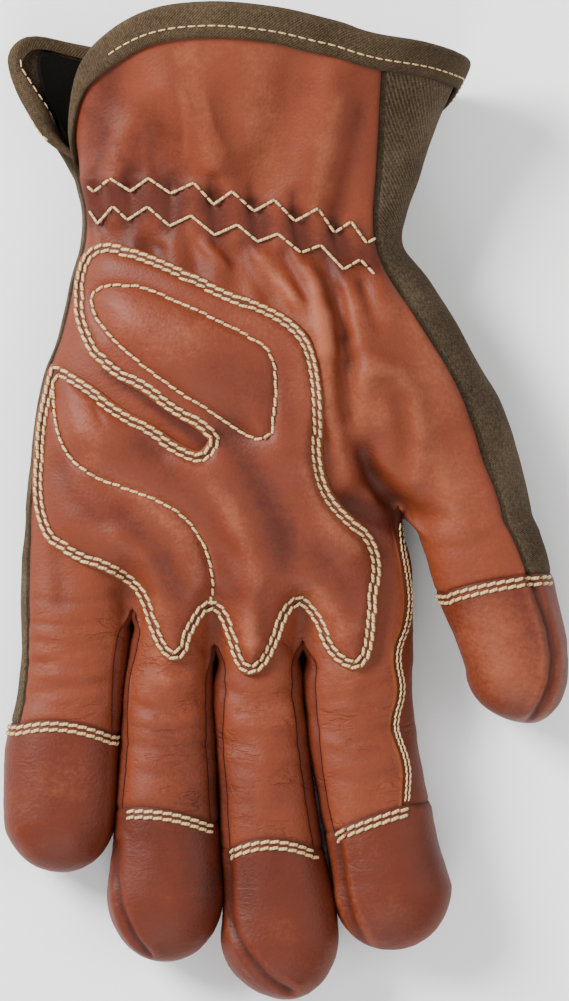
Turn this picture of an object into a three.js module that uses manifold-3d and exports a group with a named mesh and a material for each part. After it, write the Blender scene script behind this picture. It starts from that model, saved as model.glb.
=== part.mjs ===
import * as THREE from 'three';
import { mergeVertices } from 'three/addons/utils/BufferGeometryUtils.js';
import Module from 'manifold-3d';

// Leather driver glove for the left hand, lying on its back with the palm up.
// Millimetres: fingers point to -Y, the cuff to +Y, the thumb to +X, the palm to +Z.

const LEATHER = 1.8;            // wall of the palm hide, side pieces and fingertip caps
const CLOTH = 1.6;              // wall of the cloth back
const LINING = 0.9;             // wall of the black cuff lining
const BINDING = 1.0;            // thickness of the folded cuff binding
const SEAM = 0.2;               // half of the gap between two neighbouring pieces
const BEVEL = 0.6;              // how much further the inner face of a wall steps back at a seam
const CLEAR = 0.5;              // gap between stacked layers
const PATCH_RISE = 2.6;         // padded thickness of the palm patch
const PATCH_CLEAR = 1.0;        // height of the patch's underside over the palm
const CUFF_START = 83;          // Y where the tube of the hand turns into the flared cuff
const THUMB_CROTCH_Y = -2;      // Y of the fork between thumb and hand
const FINGER_POWER = 2.35;      // squareness of a finger's section
const HAND_POWER = 2.6;         // squareness of the hand's section
const SEAM_LIMIT = 0.86;        // widest part of a section that a front panel may reach
const CROTCH_RADIUS = 1.7;      // radius of the open eye at each finger crotch
const GAP = 0.25;               // half of the gap left between two fingers
const RIPPLE = 10.4;            // width of one gather at the wrist elastic
const BINDING_WIDTH = 7.3;
const CENTRE = { x: 0.187, y: -0.857 };   // middle of the glove's bounding box in the tables' frame

// Hand and thumb root together, as one wide section per row.
const trunkRows = [
  { y: 83, left: -54.5, right: 34.6, seam: 23.5, fold: 7.8, top: 36, mid: 17 },
  { y: 74.2, left: -52.6, right: 31.5, seam: 22.8, fold: 6.6, top: 34.5, mid: 16.5 },
  { y: 66, left: -52.9, right: 30.9, seam: 23.6, fold: 6.8, top: 34, mid: 16 },
  { y: 57.3, left: -55.5, right: 37.6, seam: 26.9, fold: 8.2, top: 35, mid: 16 },
  { y: 49.5, left: -57.1, right: 42.8, seam: 31.9, fold: 9.5, top: 36, mid: 16 },
  { y: 41.7, left: -59.1, right: 47.2, seam: 37.1, fold: 11.1, top: 36.5, mid: 16 },
  { y: 33.9, left: -62.0, right: 51.4, seam: 42.0, fold: 12.6, top: 36, mid: 15.5 },
  { y: 26.1, left: -63.6, right: 55.8, seam: 45.9, fold: 14.2, top: 35, mid: 15 },
  { y: 18.3, left: -64.9, right: 58.9, seam: 48.8, fold: 16.5, top: 34, mid: 14.5 },
  { y: 10.5, left: -65.9, right: 61.0, seam: 51.1, fold: 20.2, top: 32.5, mid: 14 },
  { y: 2.7, left: -66.7, right: 63.1, seam: 54.2, fold: 26.8, top: 31, mid: 13.5 },
  { y: -2, left: -67.2, right: 64.2, seam: 55.8, fold: 30.8, top: 30, mid: 13 },
];

// The hand without the thumb, from the thumb root to the finger crotches.
const handRows = [
  { y: 34, left: -62.0, right: 30.0, top: 35.5, mid: 15.5 },
  { y: 10.5, left: -65.9, right: 30.2, top: 32, mid: 14 },
  { y: -2, left: -67.2, right: 30.8, top: 30, mid: 13 },
  { y: -9, left: -67.6, right: 33.2, top: 29, mid: 13 },
  { y: -16, left: -68.0, right: 33.3, top: 28, mid: 12.8 },
  { y: -26, left: -68.2, right: 33.4, top: 26.8, mid: 12.6 },
  { y: -40, left: -68.6, right: 33.4, top: 25.6, mid: 12.5 },
];

// Digits: silhouettes and the two front seams at each row, then the rounded tip.
// The edge of a fingertip cap runs at edge + tilt * u + bow * u * u, with u across the digit.
const digits = {
  little: {
    tip: { x: -57.9, y: -96.6 }, cap: { edge: -56.8, tilt: -1.4, bow: -3.4 },
    depth: { top: 24.4, mid: 12.5 },
    rows: [
      { y: -26, left: -68.3, right: -39.3, seamLeft: -66.0, seamRight: -39.7 },
      { y: -29, left: -68.4, right: -39.4, seamLeft: -66.1, seamRight: -39.9 },
      { y: -33.7, left: -68.4, right: -39.9, seamLeft: -66.3, seamRight: -42.6 },
      { y: -38.9, left: -68.5, right: -40.4, seamLeft: -66.4, seamRight: -43.6 },
      { y: -51.9, left: -69.8, right: -42.0, seamLeft: -67.5, seamRight: -44.6 },
      { y: -61.0, left: -71.8, right: -42.8, seamLeft: -69.2, seamRight: -44.6 },
      { y: -71.4, left: -72.8, right: -43.3, seamLeft: -70.2, seamRight: -45.1 },
      { y: -81.8, left: -72.9, right: -44.0, seamLeft: -70.3, seamRight: -45.9 },
    ],
  },
  ring: {
    tip: { x: -30.6, y: -119.7 }, cap: { edge: -79.8, tilt: -2.2, bow: -2.4 },
    depth: { top: 24.4, mid: 12.5 },
    rows: [
      { y: -26, left: -39.3, right: -18.3, seamLeft: -39.0, seamRight: -18.2 },
      { y: -29, left: -39.4, right: -18.3, seamLeft: -39.2, seamRight: -18.2 },
      { y: -33.7, left: -39.9, right: -18.2, seamLeft: -37.7, seamRight: -18.0 },
      { y: -38.4, left: -40.3, right: -18.1, seamLeft: -38.4, seamRight: -18.3 },
      { y: -45.4, left: -41.1, right: -18.6, seamLeft: -40.0, seamRight: -20.2 },
      { y: -51.9, left: -41.8, right: -18.6, seamLeft: -40.6, seamRight: -20.2 },
      { y: -64.9, left: -42.8, right: -17.8, seamLeft: -41.0, seamRight: -20.0 },
      { y: -77.9, left: -43.6, right: -17.3, seamLeft: -41.9, seamRight: -19.3 },
      { y: -90.9, left: -44.8, right: -16.7, seamLeft: -42.6, seamRight: -18.8 },
      { y: -101.3, left: -46.2, right: -15.8, seamLeft: -43.2, seamRight: -18.2 },
    ],
  },
  middle: {
    tip: { x: 0.9, y: -129.3 }, cap: { edge: -87.2, tilt: 0, bow: -4.2 },
    depth: { top: 24.4, mid: 12.5 },
    rows: [
      { y: -26, left: -18.2, right: 4.6, seamLeft: -18.0, seamRight: 4.7 },
      { y: -36.3, left: -18.1, right: 4.7, seamLeft: -17.9, seamRight: 4.8 },
      { y: -41.5, left: -18.2, right: 4.7, seamLeft: -16.2, seamRight: 2.2 },
      { y: -49.3, left: -18.5, right: 4.8, seamLeft: -15.8, seamRight: 2.3 },
      { y: -62.3, left: -17.8, right: 6.0, seamLeft: -16.0, seamRight: 3.5 },
      { y: -77.9, left: -17.0, right: 8.1, seamLeft: -15.0, seamRight: 5.7 },
      { y: -90.9, left: -16.4, right: 10.3, seamLeft: -14.2, seamRight: 7.9 },
      { y: -102.6, left: -15.8, right: 12.7, seamLeft: -13.9, seamRight: 9.8 },
      { y: -113.0, left: -16.4, right: 13.9, seamLeft: -13.9, seamRight: 10.8 },
    ],
  },
  index: {
    tip: { x: 26.9, y: -116.7 }, cap: { edge: -81.0, tilt: 5.0, bow: -1.0 },
    depth: { top: 24.4, mid: 12.5 },
    rows: [
      { y: -26, left: 4.6, right: 33.4, seamLeft: 4.7, seamRight: 30.0 },
      { y: -36.3, left: 4.7, right: 33.4, seamLeft: 4.8, seamRight: 29.4 },
      { y: -41.5, left: 4.7, right: 33.3, seamLeft: 7.6, seamRight: 28.5 },
      { y: -49.3, left: 4.9, right: 33.0, seamLeft: 7.8, seamRight: 29.4 },
      { y: -62.3, left: 6.3, right: 34.7, seamLeft: 9.0, seamRight: 29.6 },
      { y: -76.6, left: 8.6, right: 37.4, seamLeft: 10.8, seamRight: 32.3 },
      { y: -89.6, left: 10.8, right: 40.1, seamLeft: 13.5, seamRight: 35.2 },
      { y: -100.0, left: 12.6, right: 43.3, seamLeft: 15.5, seamRight: 37.3 },
    ],
  },
  thumb: {
    tip: { x: 63.6, y: -57.6 }, cap: { edge: -20.4, tilt: 3.0, bow: -1.2 },
    depth: { top: 28.5, mid: 14 },
    rows: [
      { y: 30, left: 12.0, right: 53.6, seamLeft: 14.0, seamRight: 44.0 },
      { y: 10.5, left: 20.2, right: 61.0, seamLeft: 21.0, seamRight: 51.1 },
      { y: -2, left: 30.8, right: 64.2, seamLeft: 30.8, seamRight: 55.8 },
      { y: -5.1, left: 32.6, right: 65.4, seamLeft: 34.4, seamRight: 57.0 },
      { y: -9.0, left: 34.4, right: 66.7, seamLeft: 36.6, seamRight: 58.6 },
      { y: -12.9, left: 35.9, right: 68.0, seamLeft: 38.4, seamRight: 60.3 },
      { y: -20.7, left: 38.4, right: 69.8, seamLeft: 41.0, seamRight: 63.1 },
      { y: -28.5, left: 41.5, right: 71.4, seamLeft: 43.8, seamRight: 65.9 },
      { y: -36.3, left: 44.9, right: 72.9, seamLeft: 47.2, seamRight: 68.2 },
      { y: -44.1, left: 47.5, right: 73.5, seamLeft: 50.1, seamRight: 69.0 },
    ],
  },
};

// Seam lines of the front, from the wrist to the crotches. Rails 0 to 4 part the fingers and the thumb.
const crotches = [
  { rail: 0, x: -66.1, y: -29 },
  { rail: 1, x: -39.4, y: -28.5 },
  { rail: 2, x: -18.1, y: -37.6 },
  { rail: 3, x: 4.7, y: -36.3 },
  { rail: 4, x: 29.5, y: -38.0 },
];
const wristRails = [
  { rail: 1, x: -36.5 },
  { rail: 2, x: -21.6 },
  { rail: 3, x: -7.2 },
];

// Rim of the cuff as a closed ring. Front rails are stations 0 to 5, back rails 6 to 11, and
// station 12 meets station 0 at the bottom of the notch.
const rimRows = [
  { q: 0, x: -53.4, y: 87.4, z: 20 },
  { q: 0.25, x: -54.5, y: 96.3, z: 24 },
  { q: 0.6, x: -52.4, y: 109.3, z: 31 },
  { q: 0.85, x: -48.5, y: 115.6, z: 36 },
  { q: 1, x: -44.1, y: 119.2, z: 40 },
  { q: 1.4, x: -35.0, y: 123.6, z: 45 },
  { q: 2, x: -22.0, y: 125.5, z: 48 },
  { q: 3, x: -3.8, y: 124.2, z: 50 },
  { q: 4, x: 11.8, y: 120.8, z: 49 },
  { q: 5, x: 25.1, y: 117.1, z: 46 },
  { q: 5.3, x: 36.5, y: 115.6, z: 40 },
  { q: 5.6, x: 45.1, y: 113.5, z: 30 },
  { q: 5.8, x: 46.7, y: 112.5, z: 20 },
  { q: 6, x: 43.6, y: 107.2, z: 6.5 },
  { q: 7, x: 22.2, y: 107.2, z: 3.2 },
  { q: 8, x: 1.4, y: 109.3, z: 3 },
  { q: 9, x: -19.4, y: 112.2, z: 3 },
  { q: 10, x: -40.2, y: 115.0, z: 3.4 },
  { q: 10.6, x: -55.8, y: 117.9, z: 5 },
  { q: 11, x: -67.2, y: 119.3, z: 8 },
  { q: 11.2, x: -70.6, y: 116.0, z: 10 },
  { q: 11.4, x: -69.9, y: 110.5, z: 11 },
  { q: 11.6, x: -66.2, y: 102.6, z: 13 },
  { q: 11.8, x: -60.0, y: 93.6, z: 16 },
  { q: 12, x: -53.4, y: 87.4, z: 20 },
];

// Soft folds of the front: a ridge (positive height) or a crease (negative) along a straight line.
const folds = [
  { x0: 8, y0: 56, x1: 10, y1: 24, width: 3.2, height: 1.6 },
  { x0: 10, y0: 24, x1: 26, y1: 2, width: 3.4, height: 1.4 },
  { x0: -2, y0: 62, x1: 6, y1: 44, width: 2.6, height: 1.2 },
  { x0: 16, y0: 58, x1: 22, y1: 36, width: 3.2, height: 1.2 },
  { x0: 14, y0: 52, x1: 17, y1: 24, width: 2.6, height: -1.5 },
  { x0: 22, y0: 30, x1: 30, y1: 10, width: 9, height: 2.4 },
  { x0: 24, y0: 4, x1: 33, y1: -3, width: 3.2, height: -2.2 },
  { x0: -44, y0: 4, x1: -14, y1: -14, width: 4.5, height: -1.6 },
  { x0: -62, y0: 22, x1: -48, y1: 14, width: 7, height: 1.4 },
  { x0: -30, y0: 104, x1: -16, y1: 88, width: 6, height: 2.2 },
  { x0: -42, y0: 104, x1: -33, y1: 86, width: 5, height: -1.8 },
  { x0: 12, y0: 106, x1: 4, y1: 80, width: 4.5, height: 2.0 },
  { x0: 2, y0: 108, x1: -6, y1: 84, width: 5, height: -1.6 },
  { x0: -22, y0: -52, x1: -40, y1: -55, width: 2.2, height: -0.7 },
  { x0: -66, y0: -42, x1: -46, y1: -39, width: 2.0, height: -0.7 },
  { x0: -66, y0: -50, x1: -46, y1: -48, width: 2.0, height: -0.7 },
  { x0: -15, y0: -62, x1: 3, y1: -61, width: 2.2, height: -0.6 },
  { x0: 9, y0: -56, x1: 30, y1: -61, width: 2.4, height: -0.8 },
];

const patchOutline = [
  [-52.1, 61.5], [-49.8, 64.4], [-45.6, 65.7], [-40.2, 64.4], [-33.1, 61.8], [-23.8, 57.6],
  [-14.5, 53.2], [-5.3, 49.5], [0.8, 46.1], [5.0, 42.0], [7.3, 36.9], [8.7, 28.5], [9.1, 19.4],
  [8.9, 12.6], [10.0, 5.6], [12.6, 0.1], [16.8, -4.5], [21.4, -8.7], [23.7, -13.4], [24.2, -18.6],
  [23.5, -24.1], [23.0, -30.0], [21.9, -38.5], [20.0, -42.2], [17.4, -43.0], [13.5, -40.8],
  [10.7, -37.1], [8.4, -31.6], [5.6, -27.8], [3.4, -26.4], [0.7, -29.2], [-1.8, -35.4],
  [-4.8, -41.5], [-8.2, -44.2], [-11.6, -42.7], [-14.4, -35.0], [-16.2, -30.0], [-18.9, -27.6],
  [-21.2, -29.1], [-24.3, -34.6], [-26.2, -39.6], [-29.2, -40.6], [-32.2, -37.6], [-34.7, -31.6],
  [-37.2, -24.6], [-41.0, -20.7], [-46.5, -17.6], [-52.5, -15.2], [-57.6, -12.3], [-61.3, -9.2],
  [-63.6, -2.7], [-64.2, 3.8], [-63.9, 11.3], [-63.2, 19.6], [-61.6, 27.5], [-59.8, 34.0],
  [-58.1, 34.0], [-50.2, 29.0], [-43.3, 23.8], [-33.9, 18.3], [-27.9, 14.2], [-22.8, 11.8],
  [-20.4, 12.6], [-18.6, 15.5], [-19.6, 16.8], [-22.3, 19.1], [-29.2, 23.3], [-36.3, 28.5],
  [-42.8, 32.1], [-48.0, 36.3], [-49.4, 37.8], [-52.0, 43.4], [-53.4, 48.5], [-53.4, 51.9],
  [-53.4, 56.0],
];

const clamp = (v, lo, hi) => Math.min(hi, Math.max(lo, v));
const mix = (a, b, t) => a + (b - a) * t;
const smooth = (v) => {
  const t = clamp(v, 0, 1);
  return t * t * (3 - 2 * t);
};

// Reads a column of a table as a smooth curve through its rows, for a rising or falling key.
function read(rows, key, column, at) {
  const rising = rows[rows.length - 1][key] > rows[0][key];
  let i = 0;
  while (i < rows.length - 2 && (rising ? at > rows[i + 1][key] : at < rows[i + 1][key])) i += 1;
  const a = rows[i];
  const b = rows[i + 1];
  const step = b[key] - a[key];
  const t = clamp((at - a[key]) / step, 0, 1);
  const slope = (p, q) => (q[column] - p[column]) / (q[key] - p[key]);
  const here = slope(a, b);
  const before = i > 0 ? (slope(rows[i - 1], a) + here) / 2 : here;
  const after = i < rows.length - 2 ? (here + slope(b, rows[i + 2])) / 2 : here;
  const t2 = t * t;
  const t3 = t2 * t;
  return (2 * t3 - 3 * t2 + 1) * a[column] + (t3 - 2 * t2 + t) * step * before
    + (3 * t2 - 2 * t3) * b[column] + (t3 - t2) * step * after;
}

// Section of a squared ellipse: across and up are both 1 at most.
const across = (angle, power) => Math.sign(Math.cos(angle)) * Math.abs(Math.cos(angle)) ** (2 / power);
const up = (angle, power) => Math.sign(Math.sin(angle)) * Math.abs(Math.sin(angle)) ** (2 / power);
const arch = (u, power) => (1 - clamp(Math.abs(u), 0, 1) ** power) ** (1 / power);
const angleOf = (u, power) => Math.acos(Math.sign(u) * clamp(Math.abs(u), 0, 1) ** (power / 2));

// Distance that a finger's side steps back from the crotch line, as a round eye that narrows again.
function openEye(drop, radius) {
  if (drop <= 0) return 0;
  if (drop < radius) return Math.sqrt(radius ** 2 - (radius - drop) ** 2);
  return GAP + (radius - GAP) * Math.exp(-(((drop - radius) / 7) ** 2));
}

const names = ['little', 'ring', 'middle', 'index'];
const railOf = { little: [0, 1], ring: [1, 2], middle: [2, 3], index: [3, 4] };

// Silhouette of a digit at a row, with its elliptical tip and the eyes at its crotches.
function digitSection(name, y) {
  const digit = digits[name];
  const last = digit.rows[digit.rows.length - 1];
  const into = clamp((last.y - y) / (last.y - digit.tip.y), 0, 1);
  const round = Math.sqrt(Math.max(0, 1 - into ** 2));
  let left = read(digit.rows, 'y', 'left', Math.max(y, last.y));
  let right = read(digit.rows, 'y', 'right', Math.max(y, last.y));
  if (name === 'thumb') {
    left += openEye(THUMB_CROTCH_Y - y, CROTCH_RADIUS);
  } else {
    const [a, b] = railOf[name];
    if (a > 0) left += openEye(crotches[a].y - y, CROTCH_RADIUS);
    if (b < 4) right -= openEye(crotches[b].y - y, CROTCH_RADIUS);
  }
  left = mix(digit.tip.x, left, round);
  right = mix(digit.tip.x, right, round);
  const rise = (digit.depth.top - digit.depth.mid) * round;
  const fall = (digit.depth.mid + 0.7) * round;
  return { x: (left + right) / 2, half: (right - left) / 2, mid: digit.depth.mid, rise, fall };
}

function tubeSection(rows, y) {
  const left = read(rows, 'y', 'left', y);
  const right = read(rows, 'y', 'right', y);
  const mid = read(rows, 'y', 'mid', y);
  const rise = read(rows, 'y', 'top', y) - mid;
  return { x: (left + right) / 2, half: (right - left) / 2, mid, rise, fall: mid + 0.8 };
}

// Height of one section at x: face is 1 on the palm side and -1 on the back.
function archHeight(section, x, face, limit, power) {
  const u = clamp((x - section.x) / section.half, -limit, limit);
  const h = arch(u, power);
  return face > 0 ? section.mid + section.rise * h : Math.max(0, section.mid - section.fall * h);
}

function foldHeight(x, y) {
  let sum = 0;
  for (const f of folds) {
    const dx = f.x1 - f.x0;
    const dy = f.y1 - f.y0;
    const length = Math.hypot(dx, dy);
    const along = ((x - f.x0) * dx + (y - f.y0) * dy) / length;
    const side = ((x - f.x0) * dy - (y - f.y0) * dx) / length;
    const beyond = Math.max(0, -along, along - length);
    sum += f.height * Math.exp(-((side / f.width) ** 2) - ((beyond / (1.5 * f.width)) ** 2));
  }
  return sum;
}

// Gathers of the wrist elastic, which run along the hand and fade towards palm and cuff.
function gatherHeight(x, y) {
  const shift = 68.5 - 0.11 * (x + 52);
  const fade = Math.exp(-(((y - shift) / 13) ** 2));
  return fade * (0.9 * Math.cos((2 * Math.PI * (x + 0.12 * y)) / RIPPLE) - 1.1);
}

function railX(rail, y) {
  if (rail === 0) return read(trunkRows, 'y', 'left', y) + mix(1.2, 2.0, smooth((20 - y) / 60));
  if (rail === 4) return read(trunkRows, 'y', 'fold', y);
  if (rail === 5) return read(trunkRows, 'y', 'seam', y);
  const start = wristRails[rail - 1].x;
  const end = crotches[rail].x;
  return mix(start, end, smooth((CUFF_START - y) / (CUFF_START - crotches[rail].y)));
}

// Name of the finger whose column holds x at row y.
function fingerAt(x, y) {
  for (const name of names.slice(0, 3)) {
    const rail = railOf[name][1];
    const next = names[names.indexOf(name) + 1];
    const line = y > crotches[rail].y
      ? railX(rail, y)
      : (digitSection(name, y).x + digitSection(name, y).half
        + digitSection(next, y).x - digitSection(next, y).half) / 2;
    if (x < line) return name;
  }
  return 'index';
}

// Height of the outer surface over the floor, palm side (face 1) or back (face -1).
function skinHeight(x, y, face, gathered = true) {
  const trunk = archHeight(tubeSection(trunkRows, y), x, face, 0.97, HAND_POWER);
  const isThumb = x > railX(4, Math.max(y, THUMB_CROTCH_Y)) && y > THUMB_CROTCH_Y - 1e-9;
  const fork = smooth((32 - y) / (32 - THUMB_CROTCH_Y));
  let z = trunk;
  if (fork > 0 && isThumb) {
    const thumb = archHeight(digitSection('thumb', y), x, face, 0.9, FINGER_POWER);
    const hand = archHeight(tubeSection(handRows, y), railX(4, y), face, 0.97, HAND_POWER);
    const root = archHeight(digitSection('thumb', y), railX(4, y), face, 0.9, FINGER_POWER);
    const near = smooth(1 - (x - railX(4, y)) / 9);
    z = mix(trunk, thumb + (hand - root) * near, fork);
  } else if (fork > 0) {
    const hand = archHeight(tubeSection(handRows, y), x, face, 0.97, HAND_POWER);
    z = mix(trunk, hand, fork);
    const finger = fingerAt(x, y);
    const [a, b] = railOf[finger];
    const t = clamp((x - crotches[a].x) / (crotches[b].x - crotches[a].x), 0, 1);
    const edge = mix(crotches[a].y, crotches[b].y, t);
    const split = smooth(1 - (y - edge) / 20);
    if (split > 0) {
      const section = digitSection(finger, y);
      z = mix(z, archHeight(section, x, face, SEAM_LIMIT, FINGER_POWER), split);
    }
  }
  if (face > 0) return z + foldHeight(x, y) + (gathered ? gatherHeight(x, y) : 0);
  return Math.max(0, z + (z > 0.05 ? 0.5 * gatherHeight(x, y) : 0));
}

function thumbHeight(x, y, face) {
  const limit = mix(0.9, SEAM_LIMIT, smooth((THUMB_CROTCH_Y - y) / 10));
  const z = archHeight(digitSection('thumb', y), x, face, limit, FINGER_POWER);
  if (face < 0) return z;
  return z + foldHeight(x, y) + gatherHeight(x, y);
}

const point = (x, y, z) => new THREE.Vector3(x, y, z);

// Side of a tube between its front rail point and its back rail point, round the silhouette.
// side is 1 on the thumb side and -1 on the little finger side; t runs from front to back.
function sideArc(front, back, section, power, side, t, weight) {
  const uf = (front.x - section.x) / section.half;
  const ub = (back.x - section.x) / section.half;
  const from = angleOf(uf, power);
  const to = side > 0 ? -angleOf(ub, power) : 2 * Math.PI - angleOf(ub, power);
  const onArc = (angle) => {
    const h = up(angle, power);
    return [section.x + section.half * across(angle, power),
      section.mid + (h > 0 ? section.rise : section.fall) * h];
  };
  const [xf, zf] = onArc(from);
  const [xb, zb] = onArc(to);
  const [x, z] = onArc(mix(from, to, t));
  const chordX = mix(front.x, back.x, t);
  const chordZ = mix(front.z, back.z, t);
  return point(
    chordX + weight * (x - mix(xf, xb, t)),
    mix(front.y, back.y, t),
    Math.max(0, chordZ + weight * (z - mix(zf, zb, t))),
  );
}

// One skin holds every panel: welded points, and faces that name their panel.
class Skin {
  constructor() {
    this.points = [];
    this.index = new Map();
    this.faces = [];
  }

  add(p) {
    const key = `${Math.round(p.x * 1e3)} ${Math.round(p.y * 1e3)} ${Math.round(p.z * 1e3)}`;
    if (!this.index.has(key)) {
      this.index.set(key, this.points.length);
      this.points.push(p.clone());
    }
    return this.index.get(key);
  }

  // Rows run towards the fingertips and columns round the glove, so the faces look outwards.
  grid(panel, rows, columns, at) {
    const ids = [];
    for (let r = 0; r <= rows; r += 1) {
      ids.push([]);
      for (let c = 0; c <= columns; c += 1) ids[r].push(this.add(at(r / rows, c / columns)));
    }
    for (let r = 0; r < rows; r += 1) {
      for (let c = 0; c < columns; c += 1) {
        const ring = [ids[r][c], ids[r + 1][c], ids[r + 1][c + 1], ids[r][c + 1]];
        const corners = ring.filter((id, i) => id !== ring[(i + 1) % 4]);
        if (corners.length > 2) this.faces.push({ panel, corners });
      }
    }
  }

  normals() {
    const sums = this.points.map(() => point(0, 0, 0));
    for (const { corners } of this.faces) {
      const [a, b, c, d] = corners.map((id) => this.points[id]);
      const first = c.clone().sub(a);
      const second = (d ?? a).clone().sub(b);
      const n = first.cross(second);
      for (const id of corners) sums[id].add(n);
    }
    return sums.map((n) => n.normalize());
  }

  // Closed wall of one panel: the outer faces drawn back from the seams, and the same faces inside.
  wall(panels, thickness, start = 0) {
    const normals = this.normals();
    const faces = this.faces.filter((face) => panels.includes(face.panel));
    const used = new Map();
    for (const { corners } of faces) {
      corners.forEach((a, i) => {
        const b = corners[(i + 1) % corners.length];
        used.set(`${a} ${b}`, [a, b]);
      });
    }
    const edges = [...used.values()].filter(([a, b]) => !used.has(`${b} ${a}`));
    const pull = new Map();
    for (const [a, b] of edges) {
      for (const id of [a, b]) {
        const along = this.points[b].clone().sub(this.points[a]).normalize();
        const inward = normals[id].clone().cross(along).normalize();
        if (!pull.has(id)) pull.set(id, []);
        pull.get(id).push(inward);
      }
    }
    const local = new Map();
    const outer = [];
    const inner = [];
    const vertex = (id) => {
      if (local.has(id)) return local.get(id);
      const p = this.points[id].clone().addScaledVector(normals[id], -start);
      const ways = pull.get(id) ?? [];
      const back = ways.reduce((total, way) => total.add(way), point(0, 0, 0)).normalize();
      if (ways.length > 0) p.addScaledVector(back, SEAM / Math.max(0.55, back.dot(ways[0])));
      if (start === 0) p.z = Math.max(0, p.z);
      local.set(id, outer.length);
      outer.push(p);
      inner.push(p.clone().addScaledVector(normals[id], -thickness).addScaledVector(back, BEVEL));
      return local.get(id);
    };
    const triangles = [];
    const shell = faces.map(({ corners }) => corners.map(vertex));
    const count = outer.length;
    for (const ring of shell) {
      for (let i = 1; i < ring.length - 1; i += 1) {
        triangles.push([ring[0], ring[i], ring[i + 1]]);
        triangles.push([ring[0] + count, ring[i + 1] + count, ring[i] + count]);
      }
    }
    for (const [a, b] of edges) {
      const p = local.get(a);
      const q = local.get(b);
      triangles.push([p, p + count, q + count]);
      triangles.push([p, q + count, q]);
    }
    return toGeometry([...outer, ...inner], triangles);
  }
}

function toGeometry(points, triangles) {
  const geometry = new THREE.BufferGeometry();
  geometry.setAttribute('position', new THREE.Float32BufferAttribute(points.flatMap((p) => p.toArray()), 3));
  geometry.setIndex(triangles.flat());
  return geometry;
}

const wasm = await Module();
wasm.setup();

const skin = new Skin();
const FRONT = 6;       // columns of one finger's front
const BACK = 3;        // columns of one finger's back
const SIDE = 3;        // columns of a finger's side
const OUTER = 5;       // columns of the cloth that turns round the little finger's side
const WRAP = 4;        // columns of the cloth that turns round the thumb side
const PALM_ROWS = 12;
const KNUCKLE_ROWS = 5;
const FINGER_ROWS = 5;
const THUMB_ROWS = 4;
const CAP_ROWS = 5;
const CUFF_ROWS = 5;
const LINING_ROWS = 4;
const PATCH_ROWS = 18;
const PATCH_COLUMNS = 15;

const easeAcross = (t) => 0.5 - 0.5 * Math.cos(Math.PI * mix(0.13, 0.87, t)) / Math.cos(Math.PI * 0.13);

// Front or back rail point of the trunk at row y.
function railPoint(rail, y, face) {
  const x = rail === 5 && face < 0 ? read(trunkRows, 'y', 'right', y) - 9 : railX(rail, y);
  const inset = rail === 0 && face < 0 ? x + 5 : x;
  return point(inset, y, skinHeight(inset, y, face));
}

// Point of the trunk's closed ring: stations 0 to 5 on the palm side, 6 to 11 on the back.
function trunkPoint(y, q) {
  const section = tubeSection(trunkRows, y);
  if (q <= 5 || (q >= 6 && q <= 11)) {
    const face = q <= 5 ? 1 : -1;
    const station = face > 0 ? q : 11 - q;
    const rail = Math.min(4, Math.floor(station));
    const a = railPoint(rail, y, face);
    const b = railPoint(rail + 1, y, face);
    const x = mix(a.x, b.x, station - rail);
    const z = station === rail ? a.z : skinHeight(x, y, face);
    return point(x, y, station === rail + 1 ? b.z : z);
  }
  const right = q < 6;
  const rail = right ? 5 : 0;
  const front = railPoint(rail, y, 1);
  const back = railPoint(rail, y, -1);
  const t = right ? q - 5 : 12 - q;
  return sideArc(front, back, section, HAND_POWER, right ? 1 : -1, t, 1);
}

// Point of the cuff: lift 0 is the wrist ring and 1 the rim.
function cuffPoint(q, lift) {
  const base = trunkPoint(CUFF_START, q);
  const below = trunkPoint(CUFF_START - 1.5, q);
  const rim = point(...['x', 'y', 'z'].map((axis) => read(rimRows, 'q', axis, q)));
  const length = rim.distanceTo(base);
  const start = base.clone().sub(below).multiplyScalar(length / 1.5 * 0.6);
  const chord = rim.clone().sub(base);
  const flare = smooth(length / 30);
  start.lerp(chord, 1 - 0.6 * flare);
  const t = lift;
  const p = base.clone().addScaledVector(chord, t);
  const bend = (t ** 3 - 2 * t * t + t);
  p.addScaledVector(start.sub(chord), bend * flare);
  const shape = foldHeight(p.x, p.y) + gatherHeight(p.x, p.y);
  const held = foldHeight(base.x, base.y) + gatherHeight(base.x, base.y);
  const leather = q < 5 ? smooth((5 - q) / 0.5) * smooth(q / 0.3) : 0;
  p.z += leather * (shape * smooth((1 - t) * 4) - held * (1 - t));
  p.z = Math.max(0, p.z);
  return p;
}

const ringStations = [];
for (let rail = 0; rail < 5; rail += 1) {
  for (let i = 0; i < FRONT; i += 1) ringStations.push(rail + i / FRONT);
}
for (let i = 0; i < WRAP; i += 1) ringStations.push(5 + i / WRAP);
for (let rail = 6; rail < 11; rail += 1) {
  for (let i = 0; i < BACK; i += 1) ringStations.push(rail + i / BACK);
}
for (let i = 0; i <= OUTER; i += 1) ringStations.push(11 + i / OUTER);

function addRing(rows, at, from, to, panel) {
  const picked = ringStations.filter((q) => q >= from - 1e-9 && q <= to + 1e-9);
  skin.grid(panel, rows, picked.length - 1, (v, u) => at(v, picked[Math.round(u * (picked.length - 1))]));
}

const palmY = (v) => mix(CUFF_START, THUMB_CROTCH_Y, v);
const bands = [
  { panel: 'palm', from: 0, to: 5 },
  { panel: 'back', from: 5, to: 12 },
];
for (const band of bands) {
  addRing(CUFF_ROWS, (v, q) => cuffPoint(q, 1 - v), band.from, band.to, `cuff ${band.panel}`);
  addRing(PALM_ROWS, (v, q) => trunkPoint(palmY(v), q), band.from, band.to, band.panel);
}

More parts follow.
